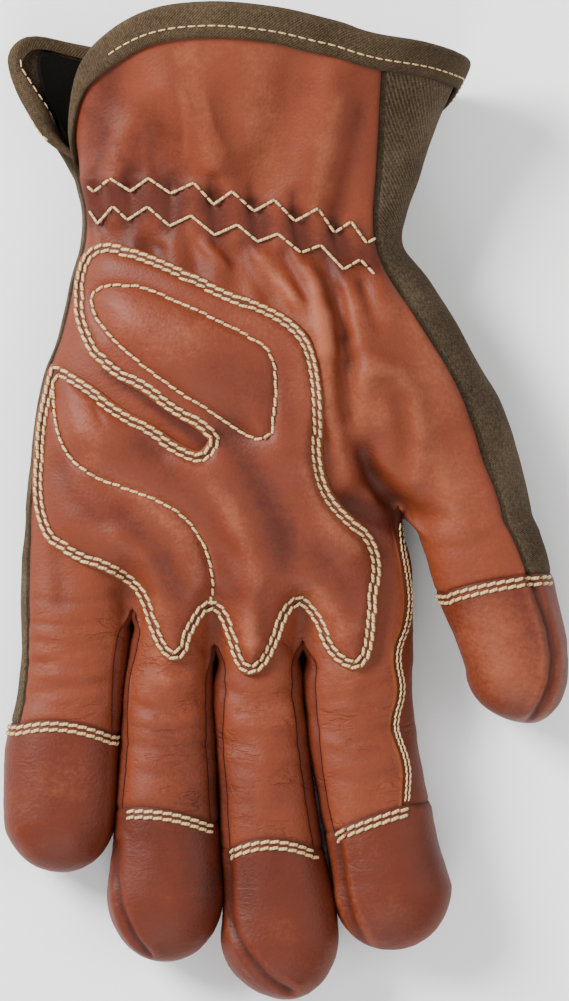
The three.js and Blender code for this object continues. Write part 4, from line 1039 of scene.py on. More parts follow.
# Folds of the palm hide, traced on the photo: width and height in millimetres, then the line.
# They also paint the hide: paler on ridges as painted highlight, darker in creases as painted shade.
HIDE_FOLDS = fold_table(
    (4.0, 0.8, 112, 176, 125, 140, 150, 100), (4.5, -0.8, 150, 116, 165, 150, 172, 176),
    (3.6, 0.8, 190, 66, 203, 120, 212, 168), (3.8, -0.9, 222, 84, 228, 130, 243, 182),
    (6.0, 0.8, 262, 66, 262, 130, 256, 178), (5.0, -0.8, 302, 90, 296, 140, 300, 190),
    (3.2, 1.1, 338, 110, 326, 165, 312, 205), (3.0, -0.9, 358, 120, 347, 170, 340, 212),
    (3.4, -0.6, 120, 60, 108, 110, 100, 150), (1.4, -0.5, 96, 178, 104, 160, 108, 140),
    (1.3, 0.4, 178, 62, 184, 96, 190, 130, 188, 160), (1.2, -0.4, 171, 64, 178, 100, 183, 130, 182, 158),
    (1.2, 0.35, 206, 100, 214, 132, 226, 158), (1.1, -0.35, 118, 150, 126, 164, 140, 176),
    (1.2, 0.35, 150, 140, 146, 158, 150, 174), (1.1, 0.3, 345, 150, 338, 178, 330, 198),
    (2.0, -1.0, 243, 248, 252, 275, 268, 302), (2.2, 1.1, 262, 258, 275, 280, 298, 302),
    (1.8, -1.1, 283, 255, 292, 272, 305, 300), (2.3, 1.4, 300, 262, 314, 285, 322, 330, 326, 352),
    (2.4, -1.3, 325, 262, 334, 290, 342, 334), (2.6, 0.8, 345, 280, 352, 310, 355, 345),
    (1.6, -0.6, 205, 236, 220, 248, 234, 264), (1.6, 0.5, 196, 240, 214, 256, 226, 268),
    (1.8, -0.5, 128, 238, 140, 246, 160, 252), (1.4, -0.5, 360, 285, 368, 305, 378, 330),
    (2.8, 1.2, 326, 320, 331, 400, 339, 450, 352, 480), (3.2, -1.1, 344, 345, 347, 400, 352, 440, 362, 478),
    (2.8, 1.1, 356, 430, 354, 400, 362, 380, 378, 370, 398, 374, 412, 396, 418, 436, 414, 476),
    (2.6, -0.7, 400, 402, 407, 440, 400, 474), (5.0, 0.8, 382, 420),
    (2.4, -1.7, 366, 452, 372, 475, 386, 496, 402, 506), (2.6, 0.7, 392, 455, 400, 480, 412, 498),
    (1.1, -1.0, 358, 458, 370, 482, 384, 498, 397, 507), (3.4, -1.6, 348, 500, 372, 513, 396, 521),
    (4.0, 0.7, 430, 430, 440, 470, 452, 510), (1.4, -0.25, 436, 548, 470, 545, 500, 528),
    (6.0, 0.8, 386, 300, 420, 350, 450, 400), (5.0, -0.6, 400, 345, 425, 400, 436, 440),
    (2.2, -0.7, 66, 520, 60, 560, 62, 600), (2.4, -0.6, 110, 575, 125, 590, 140, 596),
    (1.0, -0.22, 36, 598, 70, 604, 106, 600), (1.0, -0.22, 34, 622, 70, 626, 106, 622),
    (1.1, -0.32, 34, 640, 70, 645, 106, 640), (1.2, -0.35, 32, 662, 66, 667, 108, 662),
    (1.1, -0.28, 30, 678, 60, 684, 104, 680), (1.2, -0.32, 28, 700, 60, 705, 104, 702),
    (0.9, 0.21, 36, 653, 70, 656, 104, 652), (1.2, -0.35, 140, 662, 165, 668, 198, 664),
    (1.3, -0.42, 134, 700, 160, 712, 204, 704), (1.1, -0.35, 132, 724, 160, 730, 204, 727),
    (1.2, -0.35, 130, 742, 170, 749, 206, 743), (1.0, -0.24, 128, 770, 160, 774, 204, 770),
    (2.0, -0.56, 226, 688, 250, 700, 290, 694), (1.6, 0.28, 236, 720, 262, 726, 290, 720),
    (1.3, -0.42, 228, 742, 258, 748, 300, 742), (1.1, -0.28, 232, 765, 262, 770, 304, 766),
    (1.1, -0.24, 236, 800, 262, 804, 306, 800), (2.6, 0.42, 262, 745, 266, 800),
    (1.6, -0.35, 322, 702, 350, 696, 390, 682), (1.7, -0.56, 322, 728, 350, 739, 394, 728),
    (1.2, -0.28, 328, 750, 360, 756, 392, 748), (1.2, -0.35, 334, 776, 365, 780, 400, 770),
    (1.9, -1.0, 96, 190, 101, 226), (1.9, -1.0, 133, 190, 130, 228), (1.9, -1.0, 172, 192, 171, 234),
    (1.9, -1.0, 214, 202, 216, 244), (1.9, -1.0, 254, 208, 258, 250), (1.9, -1.0, 295, 218, 302, 262),
    (1.9, -1.0, 334, 229, 344, 278), (2.3, 0.8, 112, 184, 114, 222), (2.3, 0.8, 151, 184, 150, 226),
    (2.3, 0.8, 193, 190, 193, 232), (2.3, 0.8, 233, 196, 237, 242), (2.3, 0.8, 274, 205, 279, 250),
    (2.3, 0.8, 315, 214, 321, 262), (2.3, 0.8, 351, 226, 360, 276), (1.5, -0.7, 132, 178, 128, 194),
    (1.5, -0.4, 172, 182, 172, 196), (1.6, -0.8, 214, 186, 214, 206), (1.6, -0.7, 254, 192, 254, 212),
    (1.6, -0.7, 295, 200, 296, 222), (1.6, -0.7, 334, 212, 335, 234),
    (2.2, -0.7, 286, 640, 300, 652, 312, 668), (2.0, -0.6, 200, 640, 214, 652, 224, 668),
    (2.0, -0.6, 116, 596, 126, 606, 140, 622), (2.4, 0.6, 160, 640, 168, 680),
    (2.4, 0.6, 352, 668, 352, 696), (3.0, -0.6, 380, 560, 384, 600, 376, 650))

# Folds of the padded patch.
# They also paint the patch: paler on ridges as painted highlight, darker in creases as painted shade.
PAD_FOLDS = fold_table(
    (9.0, 0.7, 130, 326), (8.0, 0.5, 195, 345), (9.0, -0.9, 240, 392), (7.0, 0.6, 86, 428),
    (4.0, 0.8, 96, 470, 150, 500, 188, 540, 200, 584), (4.4, -0.9, 128, 518, 160, 548, 178, 590),
    (4.2, -1.0, 150, 444, 200, 490, 232, 548, 240, 596), (4.2, 1.1, 185, 462, 226, 508, 252, 575, 254, 640),
    (4.6, -1.2, 232, 436, 258, 486, 282, 530, 288, 566), (4.5, 0.8, 288, 450, 312, 480, 334, 525, 352, 545),
    (5.0, 0.6, 290, 575, 322, 600, 346, 622), (3.6, -0.7, 320, 556, 338, 580, 352, 606),
    (3.0, -0.6, 262, 600, 266, 630), (3.0, -0.5, 60, 470, 76, 500, 100, 520),
    (3.0, 0.5, 120, 536, 150, 566, 160, 610), (3.2, -0.6, 288, 372, 296, 420, 292, 450),
    (3.0, 0.5, 300, 350, 304, 400, 306, 440), (0.7, -0.3, 262, 282, 267, 298),
    (0.7, -0.3, 269, 278, 275, 297), (0.7, -0.3, 276, 277, 284, 297), (0.7, -0.25, 283, 282, 291, 300),
    (0.8, -0.3, 96, 408, 104, 424), (0.8, -0.25, 330, 560, 344, 553))

# Lengthwise seams of the fingertip caps.
CAP_SEAMS = (
    photo_line(527, 574, 535.6, 599, 545.6, 629, 549.7, 654, 548, 679, 542, 697, 533, 712, 527, 719.6),
    photo_line(118.4, 840, 117.5, 876, 121, 899, 127, 917, 137, 937, 146, 947.5, 151, 954),
    photo_line(230, 852, 231, 912, 235, 930, 248, 951, 264, 971, 276, 981, 290.7, 988.6),
    photo_line(336.5, 832, 345, 890, 353, 920, 363, 938, 368, 947))

# How far the cap rows reach across each digit, in X.
CAP_ROW_SPAN = {"little": (-72.5, -43.5), "ring": (-41.0, -18.6), "middle": (-14.2, 7.9),
                "index": (12.6, 31.8), "thumb": (39.5, 68.6)}

# Painted light alone, with no change of shape: painted shade where the hide is darker (negative) and painted
# highlight where it is paler, as width, strength and a traced line.
PAINTED_LIGHT = fold_table(
    (7.0, -1.95, 96, 205, 150, 203, 215, 212, 300, 238, 372, 262), (12.0, -0.95, 104, 90, 130, 160),
    (8.0, -0.3, 330, 170, 345, 150), (9.0, 0.2, 250, 90, 300, 110), (5.0, -0.8, 130, 258, 215, 275),
    (8.0, 0.6, 420, 380, 455, 480), (5.0, -0.9, 350, 508, 376, 524, 392, 548),
    (6.0, 0.5, 60, 640, 100, 640), (7.0, -0.5, 160, 740, 200, 745), (6.0, 0.6, 250, 712, 290, 712),
    (6.0, -0.5, 250, 790, 300, 790), (6.0, 0.4, 345, 672, 375, 672), (7.0, 0.6, 450, 535, 490, 520),
    (11.0, 0.9, 490, 630, 515, 680), (10.0, 0.3, 60, 790), (9.0, -0.7, 205, 800, 208, 900),
    (9.0, -0.5, 140, 830), (6.0, 0.6, 172, 892), (9.0, -0.6, 300, 880, 255, 880), (6.0, 0.6, 284, 925),
    (9.0, 0.25, 390, 880), (8.0, -0.4, 425, 860), (2.2, -2.0, 112, 372, 150, 398, 205, 440),
    (10.0, -0.35, 352, 690, 352, 770), (10.0, -0.3, 190, 88, 340, 92))


def fold_sum(xy: Array, folds: tuple[Fold, ...]) -> Array:
    """Returns the added heights of folds: height times a bell of the distance to each path.

    Args:
        xy: places on the palm side.
        folds: the folds.

    Returns:
        One height for each place.
    """
    total = np.zeros(xy.shape[:-1])
    for item in folds:
        near = np.abs(xy - item.path.mean(0)).max(-1) < np.ptp(item.path, axis=0).max() + 4 * item.width
        total[near] += item.height * np.exp(-((distance_to_path(xy[near], item.path) / item.width) ** 2))
    return total


def crotch_spacing(v: Array) -> Array:
    """Returns rows drawn closer together near a crotch."""
    return mix(v, v * v, 0.75)


def steps_across(columns: int, forward: bool) -> Array:
    """Returns one row of even steps from 0 to 1, or from 1 to 0 where it doesn't run forward."""
    u = np.linspace(0, 1, columns + 1)
    return (u if forward else 1 - u)[None, :]


@dataclass
class SkinBuilder:
    """Lays the grids of the glove's form into one skin."""

    form: GloveForm = field(default_factory=GloveForm)
    front: int = 22
    back: int = 12
    side: int = 14
    outer: int = 18
    wrap: int = 24
    cuff_rows: int = 52
    palm_rows: int = 96
    knuckle_rows: int = 34
    finger_rows: int = 54
    thumb_rows: int = 26
    cap_rows: int = 44

    def columns(self, face: Face) -> int:
        """Returns how many columns a digit's front or back has."""
        return self.front if face is Face.PALM else self.back

    def stations(self) -> Array:
        """Returns the stations round the trunk, from 0 to 12."""
        parts = [np.arange(5 * self.front) / self.front, 5 + np.arange(self.wrap) / self.wrap,
                 6 + np.arange(5 * self.back) / self.back, 11 + np.arange(self.outer + 1) / self.outer]
        return np.concatenate(parts)

    @staticmethod
    def trunk_cloth(points: Array, q: Array) -> Array:
        """Returns cloth coordinates round the trunk: -X on the back, and arc length from there up the sides.

        Args:
            points: rows of points round the trunk.
            q: their stations.

        Returns:
            Two coordinates for each point.
        """
        arc = arc_length(points)
        first, last = int(np.argmin(np.abs(q - 6))), int(np.argmin(np.abs(q - 11)))
        u = -points[..., 0]
        u = np.where(q < 6, u[:, first, None] + arc - arc[:, first, None], u)
        u = np.where(q > 11, u[:, last, None] + arc - arc[:, last, None], u)
        return np.stack([u, points[..., 1]], -1)

    def trunk(self, skin: Skin) -> dict[str, Array]:
        """Adds the cuff and the palm down to the thumb crotch; returns the point numbers of the rim.

        Args:
            skin: the skin that the grids are added to.

        Returns:
            The point numbers of the rim, by panel name.
        """
        rim = {}
        for panel, low, high in ((Panel.PALM, 0, 5), (Panel.BACK, 5, 12)):
            every = self.stations()
            q = every[(every >= low - 1e-9) & (every <= high + 1e-9)]
            lift = 1 - np.linspace(0, 1, self.cuff_rows + 1)[:, None]
            cuff = self.form.cuff_point(q[None, :], lift)
            y = mix(CUFF_START, THUMB_CROTCH_Y, np.linspace(0, 1, self.palm_rows + 1))[:, None]
            hand = self.form.trunk_point(y, q[None, :])
            cuff[-1] = hand[0]
            both = [(points, self.trunk_cloth(points, q) if low else None) for points in (cuff, hand)]
            rim[panel.name] = skin.grid(panel, *both[0])[0]
            skin.grid(panel, *both[1])
        return rim

    def finger_front_or_back(self, skin: Skin, name: str, face: Face) -> None:
        """Adds a finger's front or back, from the thumb crotch row to its cap.

        Args:
            skin: the skin that the grids are added to.
            name: the finger.
            face: palm side or back.
        """
        form, digit, a = self.form, DIGITS[name], NAMES.index(name)
        t = steps_across(self.columns(face), face is Face.PALM)
        v = np.linspace(0, 1, self.knuckle_rows + 1)
        p, q = form.knuckle_point(a, v, face)[:, None], form.knuckle_point(a + 1, v, face)[:, None]
        v = v[:, None]
        even = mix(t, ease_across(t), v)
        x, y = mix(p[..., 0], q[..., 0], even), mix(p[..., 1], q[..., 1], even)
        upper = self.pinned(np.stack([x, y, form.height(x, y, face)], -1), t, p, q)
        v = crotch_spacing(np.linspace(0, 1, self.finger_rows + 1))
        p = form.finger_rail(name, Hand.LITTLE, face, v)[:, None]
        q = form.finger_rail(name, Hand.THUMB, face, v)[:, None]
        v = v[:, None]
        even = ease_across(t)
        x = mix(p[..., 0], q[..., 0], even)
        far = form.digit_section(name, digit.edge)
        end = digit.cap_edge((x - far.x) / far.half)
        y = mix(mix(p[0, 0, 1], q[0, 0, 1], even), end, v)
        lower = self.pinned(np.stack([x, y, form.height(x, y, face)], -1), t, p, q)
        lower[0] = upper[-1]
        for points in (upper, lower):
            skin.grid(FACE_PANEL[face], points, np.stack([-points[..., 0], points[..., 1]], -1))

    @staticmethod
    def pinned(points: Array, t: Array, p: Array, q: Array) -> Array:
        """Returns a grid whose columns at t 0 and t 1 are exactly the two rails."""
        points = np.where((t == 0)[..., None], p, points)
        return np.where((t == 1)[..., None], q, points)

    @staticmethod
    def side_grid(skin: Skin, panel: Panel, hand: Hand, points: Array) -> None:
        """Adds a side; its cloth coordinates are -X at its back edge and the arc length from there.

        Args:
            skin: the skin that the grid is added to.
            panel: panel that it belongs to.
            hand: side of the digit.
            points: rows of points from front to back, or back to front on the little finger's side.
        """
        arc = arc_length(points)
        column = -1 if hand is Hand.THUMB else 0
        u = -points[:, column, None, 0] + arc - arc[:, column, None]
        skin.grid(panel, points, np.stack([u, points[..., 1]], -1))

    def finger_side(self, skin: Skin, name: str, hand: Hand, panel: Panel) -> None:
        """Adds the side of a finger from its crotch to its cap.

        Args:
            skin: the skin that the grids are added to.
            name: the finger.
            hand: side of the finger.
            panel: panel that it belongs to.
        """
        form = self.form
        t = steps_across(self.outer if panel is Panel.BACK else self.side, hand is Hand.THUMB)
        v = crotch_spacing(np.linspace(0, 1, self.finger_rows + 1))[:, None]
        front = form.finger_rail(name, hand, Face.PALM, v[:, 0])[:, None]
        back = form.finger_rail(name, hand, Face.BACK, v[:, 0])[:, None]
        y = mix(front[..., 1], back[..., 1], t)
        weight = 1 + 0 * v if panel in (Panel.BACK, Panel.INDEX_SIDE) else smooth(v * 5)
        section = form.digit_section(name, y)
        points = form.side_arc(front, back, section, FINGER_POWER, hand, t, weight)
        self.side_grid(skin, panel, hand, self.pinned(points, t, front, back))

    def hand_side(self, skin: Skin, rail: int, hand: Hand, panel: Panel) -> None:
        """Adds the outer side of the hand between the thumb crotch row and a finger crotch.

        Args:
            skin: the skin that the grids are added to.
            rail: number of the seam line, as in rail_x.
            hand: side of the hand.
            panel: panel that it belongs to.
        """
        form = self.form
        t = steps_across(self.outer if panel is Panel.BACK else self.side, hand is Hand.THUMB)
        v = np.linspace(0, 1, self.knuckle_rows + 1)
        front = form.knuckle_point(rail, v, Face.PALM)[:, None]
        back = form.knuckle_point(rail, v, Face.BACK)[:, None]
        v = v[:, None]
        y = mix(front[..., 1], back[..., 1], t)
        start = smooth(v * 2.2) if hand is Hand.THUMB else 1 + 0 * v
        name = "index" if hand is Hand.THUMB else "little"
        wide = form.side_arc(front, back, form.tube_section(HAND, y), HAND_POWER, hand, t, start)
        own = form.digit_section(name, CROTCHES[rail, 1])
        finger = form.side_arc(front, back, own, FINGER_POWER, hand, t, start)
        points = mix(wide, finger, v[..., None])
        if hand is Hand.LITTLE:
            trunk = form.trunk_section(np.asarray(THUMB_CROTCH_Y))
            widest = form.side_arc(front, back, trunk, HAND_POWER, hand, t, 1.0)
            points = mix(widest, points, smooth(v * 2)[..., None])
            points[0] = form.trunk_point(THUMB_CROTCH_Y, 12 - t[0])
        self.side_grid(skin, panel, hand, self.pinned(points, t, front, back))

    def thumb(self, skin: Skin) -> None:
        """Adds the thumb from its crotch row to its cap: leather front and inner side, cloth elsewhere.

        Args:
            skin: the skin that the grids are added to.
        """
        form, digit = self.form, DIGITS["thumb"]
        w = np.linspace(0, 1, self.thumb_rows + 1)
        v = mix(w, crotch_spacing(w), 0.5)
        rails = {(h, f): form.thumb_rail(h, f, v)[:, None] for h in Hand for f in Face}
        v = v[:, None]
        far = form.digit_section("thumb", digit.edge)
        for face in Face:
            u = np.linspace(0, 1, self.columns(face) + 1)
            t = (u if face is Face.PALM else 1 - u)[None, :]
            p, q = rails[Hand.LITTLE, face], rails[Hand.THUMB, face]
            even = mix(t, ease_across(t), v)
            x = mix(p[..., 0], q[..., 0], even)
            y = mix(THUMB_CROTCH_Y, digit.cap_edge((x - far.x) / far.half), v)
            flat = mix(form.thumb_height(p[..., 0], y, face), form.thumb_height(q[..., 0], y, face), even)
            z = np.maximum(0, mix(p[..., 2], q[..., 2], even) + form.thumb_height(x, y, face) - flat)
            points = np.stack([x, y, z], -1)
            station = 4 + t[0] if face is Face.PALM else 6 + u
            points[0] = form.trunk_point(THUMB_CROTCH_Y, station)
            points = self.pinned(points, t, p, q)
            skin.grid(FACE_PANEL[face], points, np.stack([-points[..., 0], points[..., 1]], -1))
        sides = ((Hand.THUMB, Panel.BACK, self.wrap), (Hand.LITTLE, Panel.PALM, self.side))
        for hand, panel, columns in sides:
            t = steps_across(columns, hand is Hand.THUMB)
            front, back = rails[hand, Face.PALM], rails[hand, Face.BACK]
            y = mix(front[..., 1], back[..., 1], t)
            weight = 1 + 0 * v if hand is Hand.THUMB else smooth(v * 2.5)
            section = form.digit_section("thumb", y)
            points = form.side_arc(front, back, section, FINGER_POWER, hand, t, weight)
            if hand is Hand.THUMB:
                trunk = form.trunk_section(np.asarray(THUMB_CROTCH_Y))
                wide = form.side_arc(front, back, trunk, HAND_POWER, hand, t, 1.0)
                points = mix(wide, points, smooth(v * 3)[..., None])
                points[0] = form.trunk_point(THUMB_CROTCH_Y, 5 + t[0])
            self.side_grid(skin, panel, hand, self.pinned(points, t, front, back))

    def cap_start(self, name: str) -> Array:
        """Returns the closed ring of points on a cap's edge, from its front left seam round to it again.

        Args:
            name: the digit.

        Returns:
            The points in order, the first one not repeated.
        """
        form, digit = self.form, DIGITS[name]
        section = form.digit_section(name, digit.edge)
        corner = {(h, f): form.rail(name, h, f, np.asarray(1.0)) for h in Hand for f in Face}
        runs = []
        for face in Face:
            columns = self.columns(face)
            ends = (Hand.LITTLE, Hand.THUMB) if face is Face.PALM else (Hand.THUMB, Hand.LITTLE)
            p, q = corner[ends[0], face], corner[ends[1], face]
            t = np.arange(columns) / columns
            even = ease_across(t) if face is Face.PALM else 1 - ease_across(1 - t)
            x = mix(p[0], q[0], even)
            y = digit.cap_edge((x - section.x) / section.half)
            height = form.thumb_height if name == "thumb" else form.height
            run = np.stack([x, y, height(x, y, face)], -1)
            run[0] = p
            hand = Hand.THUMB if face is Face.PALM else Hand.LITTLE
            wide = {"thumb": self.wrap, "little": self.outer}
            columns = wide.get(name, self.side) if (name == "thumb") == (hand is Hand.THUMB) else self.side
            u = np.arange(columns) / columns
            t = u if hand is Hand.THUMB else 1 - u
            front, back = corner[hand, Face.PALM], corner[hand, Face.BACK]
            y = mix(front[1], back[1], t)
            around = form.side_arc(front, back, form.digit_section(name, y), FINGER_POWER, hand, t, 1.0)
            around[0] = front if hand is Hand.THUMB else back
            runs += [run, around]
        return np.concatenate(runs)

    def cap(self, skin: Skin, name: str) -> None:
        """Adds a fingertip cap: rings that start on its edge and shrink with the digit's section.

        Args:
            skin: the skin that the grids are added to.
            name: the digit.
        """
        digit, ring = DIGITS[name], self.cap_start(name)
        start = np.concatenate([ring, ring[:1]])[None]
        v = np.linspace(0, 1, self.cap_rows + 1)[:, None]
        points = self.form.carried(name, start, mix(start[..., 1], digit.tip[1], np.sin(v * math.pi / 2)))
        points[..., 2] = np.maximum(0, points[..., 2])
        points[0] = start[0]
        points[-1] = (*digit.tip, digit.mid)
        skin.grid(Panel[f"CAP_{name.upper()}"], points)

    def build(self) -> tuple[Skin, dict[str, Array]]:
        """Returns the welded skin and the point numbers of the cuff's rim."""
        skin = Skin()
        rim = self.trunk(skin)
        for name in NAMES:
            for face in Face:
                self.finger_front_or_back(skin, name, face)
        strips = (Panel.BACK, Panel.STRIP_1, Panel.STRIP_1, Panel.STRIP_2, Panel.STRIP_2, Panel.STRIP_3,
                  Panel.STRIP_3, Panel.INDEX_SIDE)
        for i, panel in enumerate(strips):
            self.finger_side(skin, NAMES[i // 2], Hand.THUMB if i % 2 else Hand.LITTLE, panel)
        self.hand_side(skin, 0, Hand.LITTLE, Panel.BACK)
        self.hand_side(skin, 4, Hand.THUMB, Panel.INDEX_SIDE)
        self.thumb(skin)
        for name in DIGITS:
            self.cap(skin, name)
        skin.weld()
        return skin, rim


class Surface:
    """A shown surface that stitches and trims are laid on."""

    def __init__(self, points: Array, faces: Array) -> None:
        """Keeps a search tree of the faces.

        Args:
            points: positions in millimetres.
            faces: quads or triangles as rows of point numbers.
        """
        self.tree = BVHTree.FromPolygons(points.tolist(), polygons(faces))

    def drop(self, xy: Array) -> tuple[Array, Array, Array]:
        """Returns the points and normals where lines down -Z first meet the surface, and which lines do.

        Args:
            xy: places of the lines.

        Returns:
            Points and normals of the lines that meet it, and a boolean for each line.
        """
        hits = [self.tree.ray_cast(Vector((x, y, 200.0)), Vector((0, 0, -1))) for x, y in xy.tolist()]
        met = np.array([hit[0] is not None for hit in hits])
        found = [hit for hit in hits if hit[0] is not None]
        return np.array([hit[0][:] for hit in found]), np.array([hit[1][:] for hit in found]), met

    def nearest(self, points: Array) -> tuple[Array, Array]:
        """Returns the points and normals of the surface nearest to some points."""
        hits = [self.tree.find_nearest(Vector(point)) for point in points.tolist()]
        return np.array([hit[0][:] for hit in hits]), np.array([hit[1][:] for hit in hits])


def polygons(faces: Array) -> list[list[int]]:
    """Returns faces as lists of corners: a quad with two equal neighbours becomes a triangle.

    Args:
        faces: rows of four point numbers.

    Returns:
        One list for each face.
    """
    if faces.shape[1] == 3:
        return faces.tolist()
    same = faces == np.roll(faces, -1, axis=1)
    whole = faces[same.sum(1) == 0].tolist()
    for i in range(4):
        chosen = faces[(same.sum(1) == 1) & same[:, i]]
        whole += np.delete(chosen, i, axis=1).tolist()
    return whole


@dataclass
class Mesh:
    """Points, faces and attributes on their way to an object."""

    points: Array
    faces: list[list[int]]
    numbers: dict[str, Array] = field(default_factory=dict)
    uv: Array | None = None


def add_object(name: str, data: bpy.types.ID) -> bpy.types.Object:
    """Returns a new object of the scene, at the origin."""
    made = bpy.data.objects.new(name, data)
    bpy.context.scene.collection.objects.link(made)
    return made


def make_object(name: str, mesh: Mesh, material: bpy.types.Material, sharp: float = 60.0) -> bpy.types.Object:
    """Makes a piece from a mesh in the tables' millimetres.

    Args:
        name: name of the piece.
        mesh: points, faces, number attributes, and a UV map from one pair of millimetres a point.
        material: the finish.
        sharp: angle in degrees past which an edge is shaded sharp.

    Returns:
        The new object, at the origin, in metres.
    """
    data = bpy.data.meshes.new(name)
    place = (mesh.points - np.array([*CENTRE, 0.0])) * 1e-3
    data.from_pydata(place.tolist(), [], mesh.faces)
    for key, values in mesh.numbers.items():
        attribute = data.attributes.new(key, "FLOAT", "POINT")
        attribute.data.foreach_set("value", values.astype(np.float32))
    if mesh.uv is not None:
        corner = np.empty(len(data.loops), np.int32)
        data.loops.foreach_get("vertex_index", corner)
        layer = data.uv_layers.new(name="UVMap")
        layer.data.foreach_set("uv", (mesh.uv[corner] * 1e-3).astype(np.float32).ravel())
    data.shade_smooth()
    data.set_sharp_from_angle(angle=math.radians(sharp))
    data.materials.append(material)
    data.validate()
    return add_object(name, data)


def edges_of(faces: Array) -> tuple[Array, Array, Array]:
    """Returns the edges of faces, less the collapsed ones.

    Args:
        faces: rows of point numbers.

    Returns:
        The first ends, the second ends, and whether an edge belongs to one face only.
    """
    a, b = faces.ravel().astype(np.int64), np.roll(faces, -1, axis=1).ravel().astype(np.int64)
    a, b = a[a != b], b[a != b]
    count = int(faces.max()) + 1
    return a, b, ~np.isin(a * count + b, b * count + a)


def wall_mesh(skin: Skin, panels: tuple[Panel, ...], thickness: float, start: float = 0.0,
              sink: float = 0.5, lift: float = 0.0, reach: float = 1.5) -> Mesh:
    """Returns the closed wall of some panels of a skin.

    The outer faces step back from each seam by SEAM, roll down into it over a short reach, and are joined to
    the same faces set inwards by the thickness.

    Args:
        skin: the welded skin.
        panels: which panels to take.
        thickness: wall in millimetres.
        start: depth of the outer face below the skin.
        sink: how deep the edge rolls in.
        lift: how far the whole panel stands over the skin.
        reach: width of the rolled edge.

    Returns:
        The wall, with the attributes "painted_shading" (painted highlight on ridges, painted shade in
        creases), "rim" (1 at a seam, where the finishes paint shade) and "inside" (1 on the hidden face), and
        cloth UVs.
    """
    quads = skin.quads[np.isin(skin.label, [panel.value for panel in panels])]
    used, local = np.unique(quads, return_inverse=True)
    local = local.reshape(quads.shape)
    points, normals = skin.points[used], skin.normals[used]
    count = len(used)
    a, b, border = edges_of(local)
    ea, eb = a[border], b[border]
    along = unit(points[eb] - points[ea])
    pull, dot = np.zeros((count, 3)), np.ones(count)
    for ends in (ea, eb):
        np.add.at(pull, ends, unit(np.cross(normals[ends], along)))
    pull = unit(pull)
    for ends in (ea, eb):
        way = unit(np.cross(normals[ends], along))
        np.minimum.at(dot, ends, (pull[ends] * way).sum(-1))
    distance = np.full(count, 99.0)
    distance[np.concatenate([ea, eb])] = 0
    length = np.linalg.norm(points[b] - points[a], axis=-1)
    for _ in range(8):
        before = distance.copy()
        np.minimum.at(distance, a, before[b] + length)
        np.minimum.at(distance, b, before[a] + length)
    roll = (1 - smooth(distance / reach)) ** 2
    outer = points + pull * (SEAM / np.maximum(0.55, dot))[:, None]
    outer = outer + normals * (lift - start - sink * roll)[:, None]
    outer[:, 2] = np.maximum(outer[:, 2], FLOOR_CLEAR)
    inner = outer - normals * thickness + pull * BEVEL
    inner[:, 2] = np.maximum(inner[:, 2], 0.3)
    faces = np.concatenate([local, local[:, ::-1] + count])
    walls = np.stack([ea, ea + count, eb + count, eb], -1)
    # Painted light of the folds, carried to the finishes: highlight on ridges, shade in creases.
    painted_shading = painted_light_of_folds(skin.points[used])
    cut = smooth((1.1 - distance_to_path(points[:, :2], INDEX_EDGE)) / 0.7) * smooth((points[:, 2] - 14) / 3)
    cut = cut * (Panel.PALM in panels)
    numbers = {"painted_shading": np.concatenate([painted_shading, painted_shading]), "rim": np.concatenate([roll, roll]),
               "cut": np.concatenate([cut, cut]), "inside": np.concatenate([0 * roll, 1 + 0 * roll])}
    uv = np.concatenate([skin.weave[used]] * 2)
    return Mesh(np.concatenate([outer, inner]), polygons(np.concatenate([faces, walls])), numbers, uv)


def painted_light_of_folds(points: Array) -> Array:
    """Returns painted light for the palm side at some points: the fine relief of the folds and the tone
    table, positive where ridges get painted highlight and negative where creases and cap seams get painted
    shade.

    Args:
        points: points of the skin.

    Returns:
        One number for each point.
    """
    xy = points[:, :2]
    # Painted light: the hide folds and the tone table give painted highlight where positive and painted shade
    # where negative.
    both = 0.75 * fold_sum(xy, HIDE_FOLDS) + fold_sum(xy, PAINTED_LIGHT)
    for seam in CAP_SEAMS:
        d = distance_to_path(xy, seam)
        # Painted shade in each cap seam's groove and painted highlight on the ridge beside it.
        seam_painted_light = 0.5 * np.exp(-(((d - 2.0) / 1.0) ** 2)) - 1.5 * np.exp(-((d / 0.7) ** 2))
        both = both + seam_painted_light * smooth((points[:, 2] - 14) / 4)
    return both * smooth((points[:, 2] - 10) / 7)


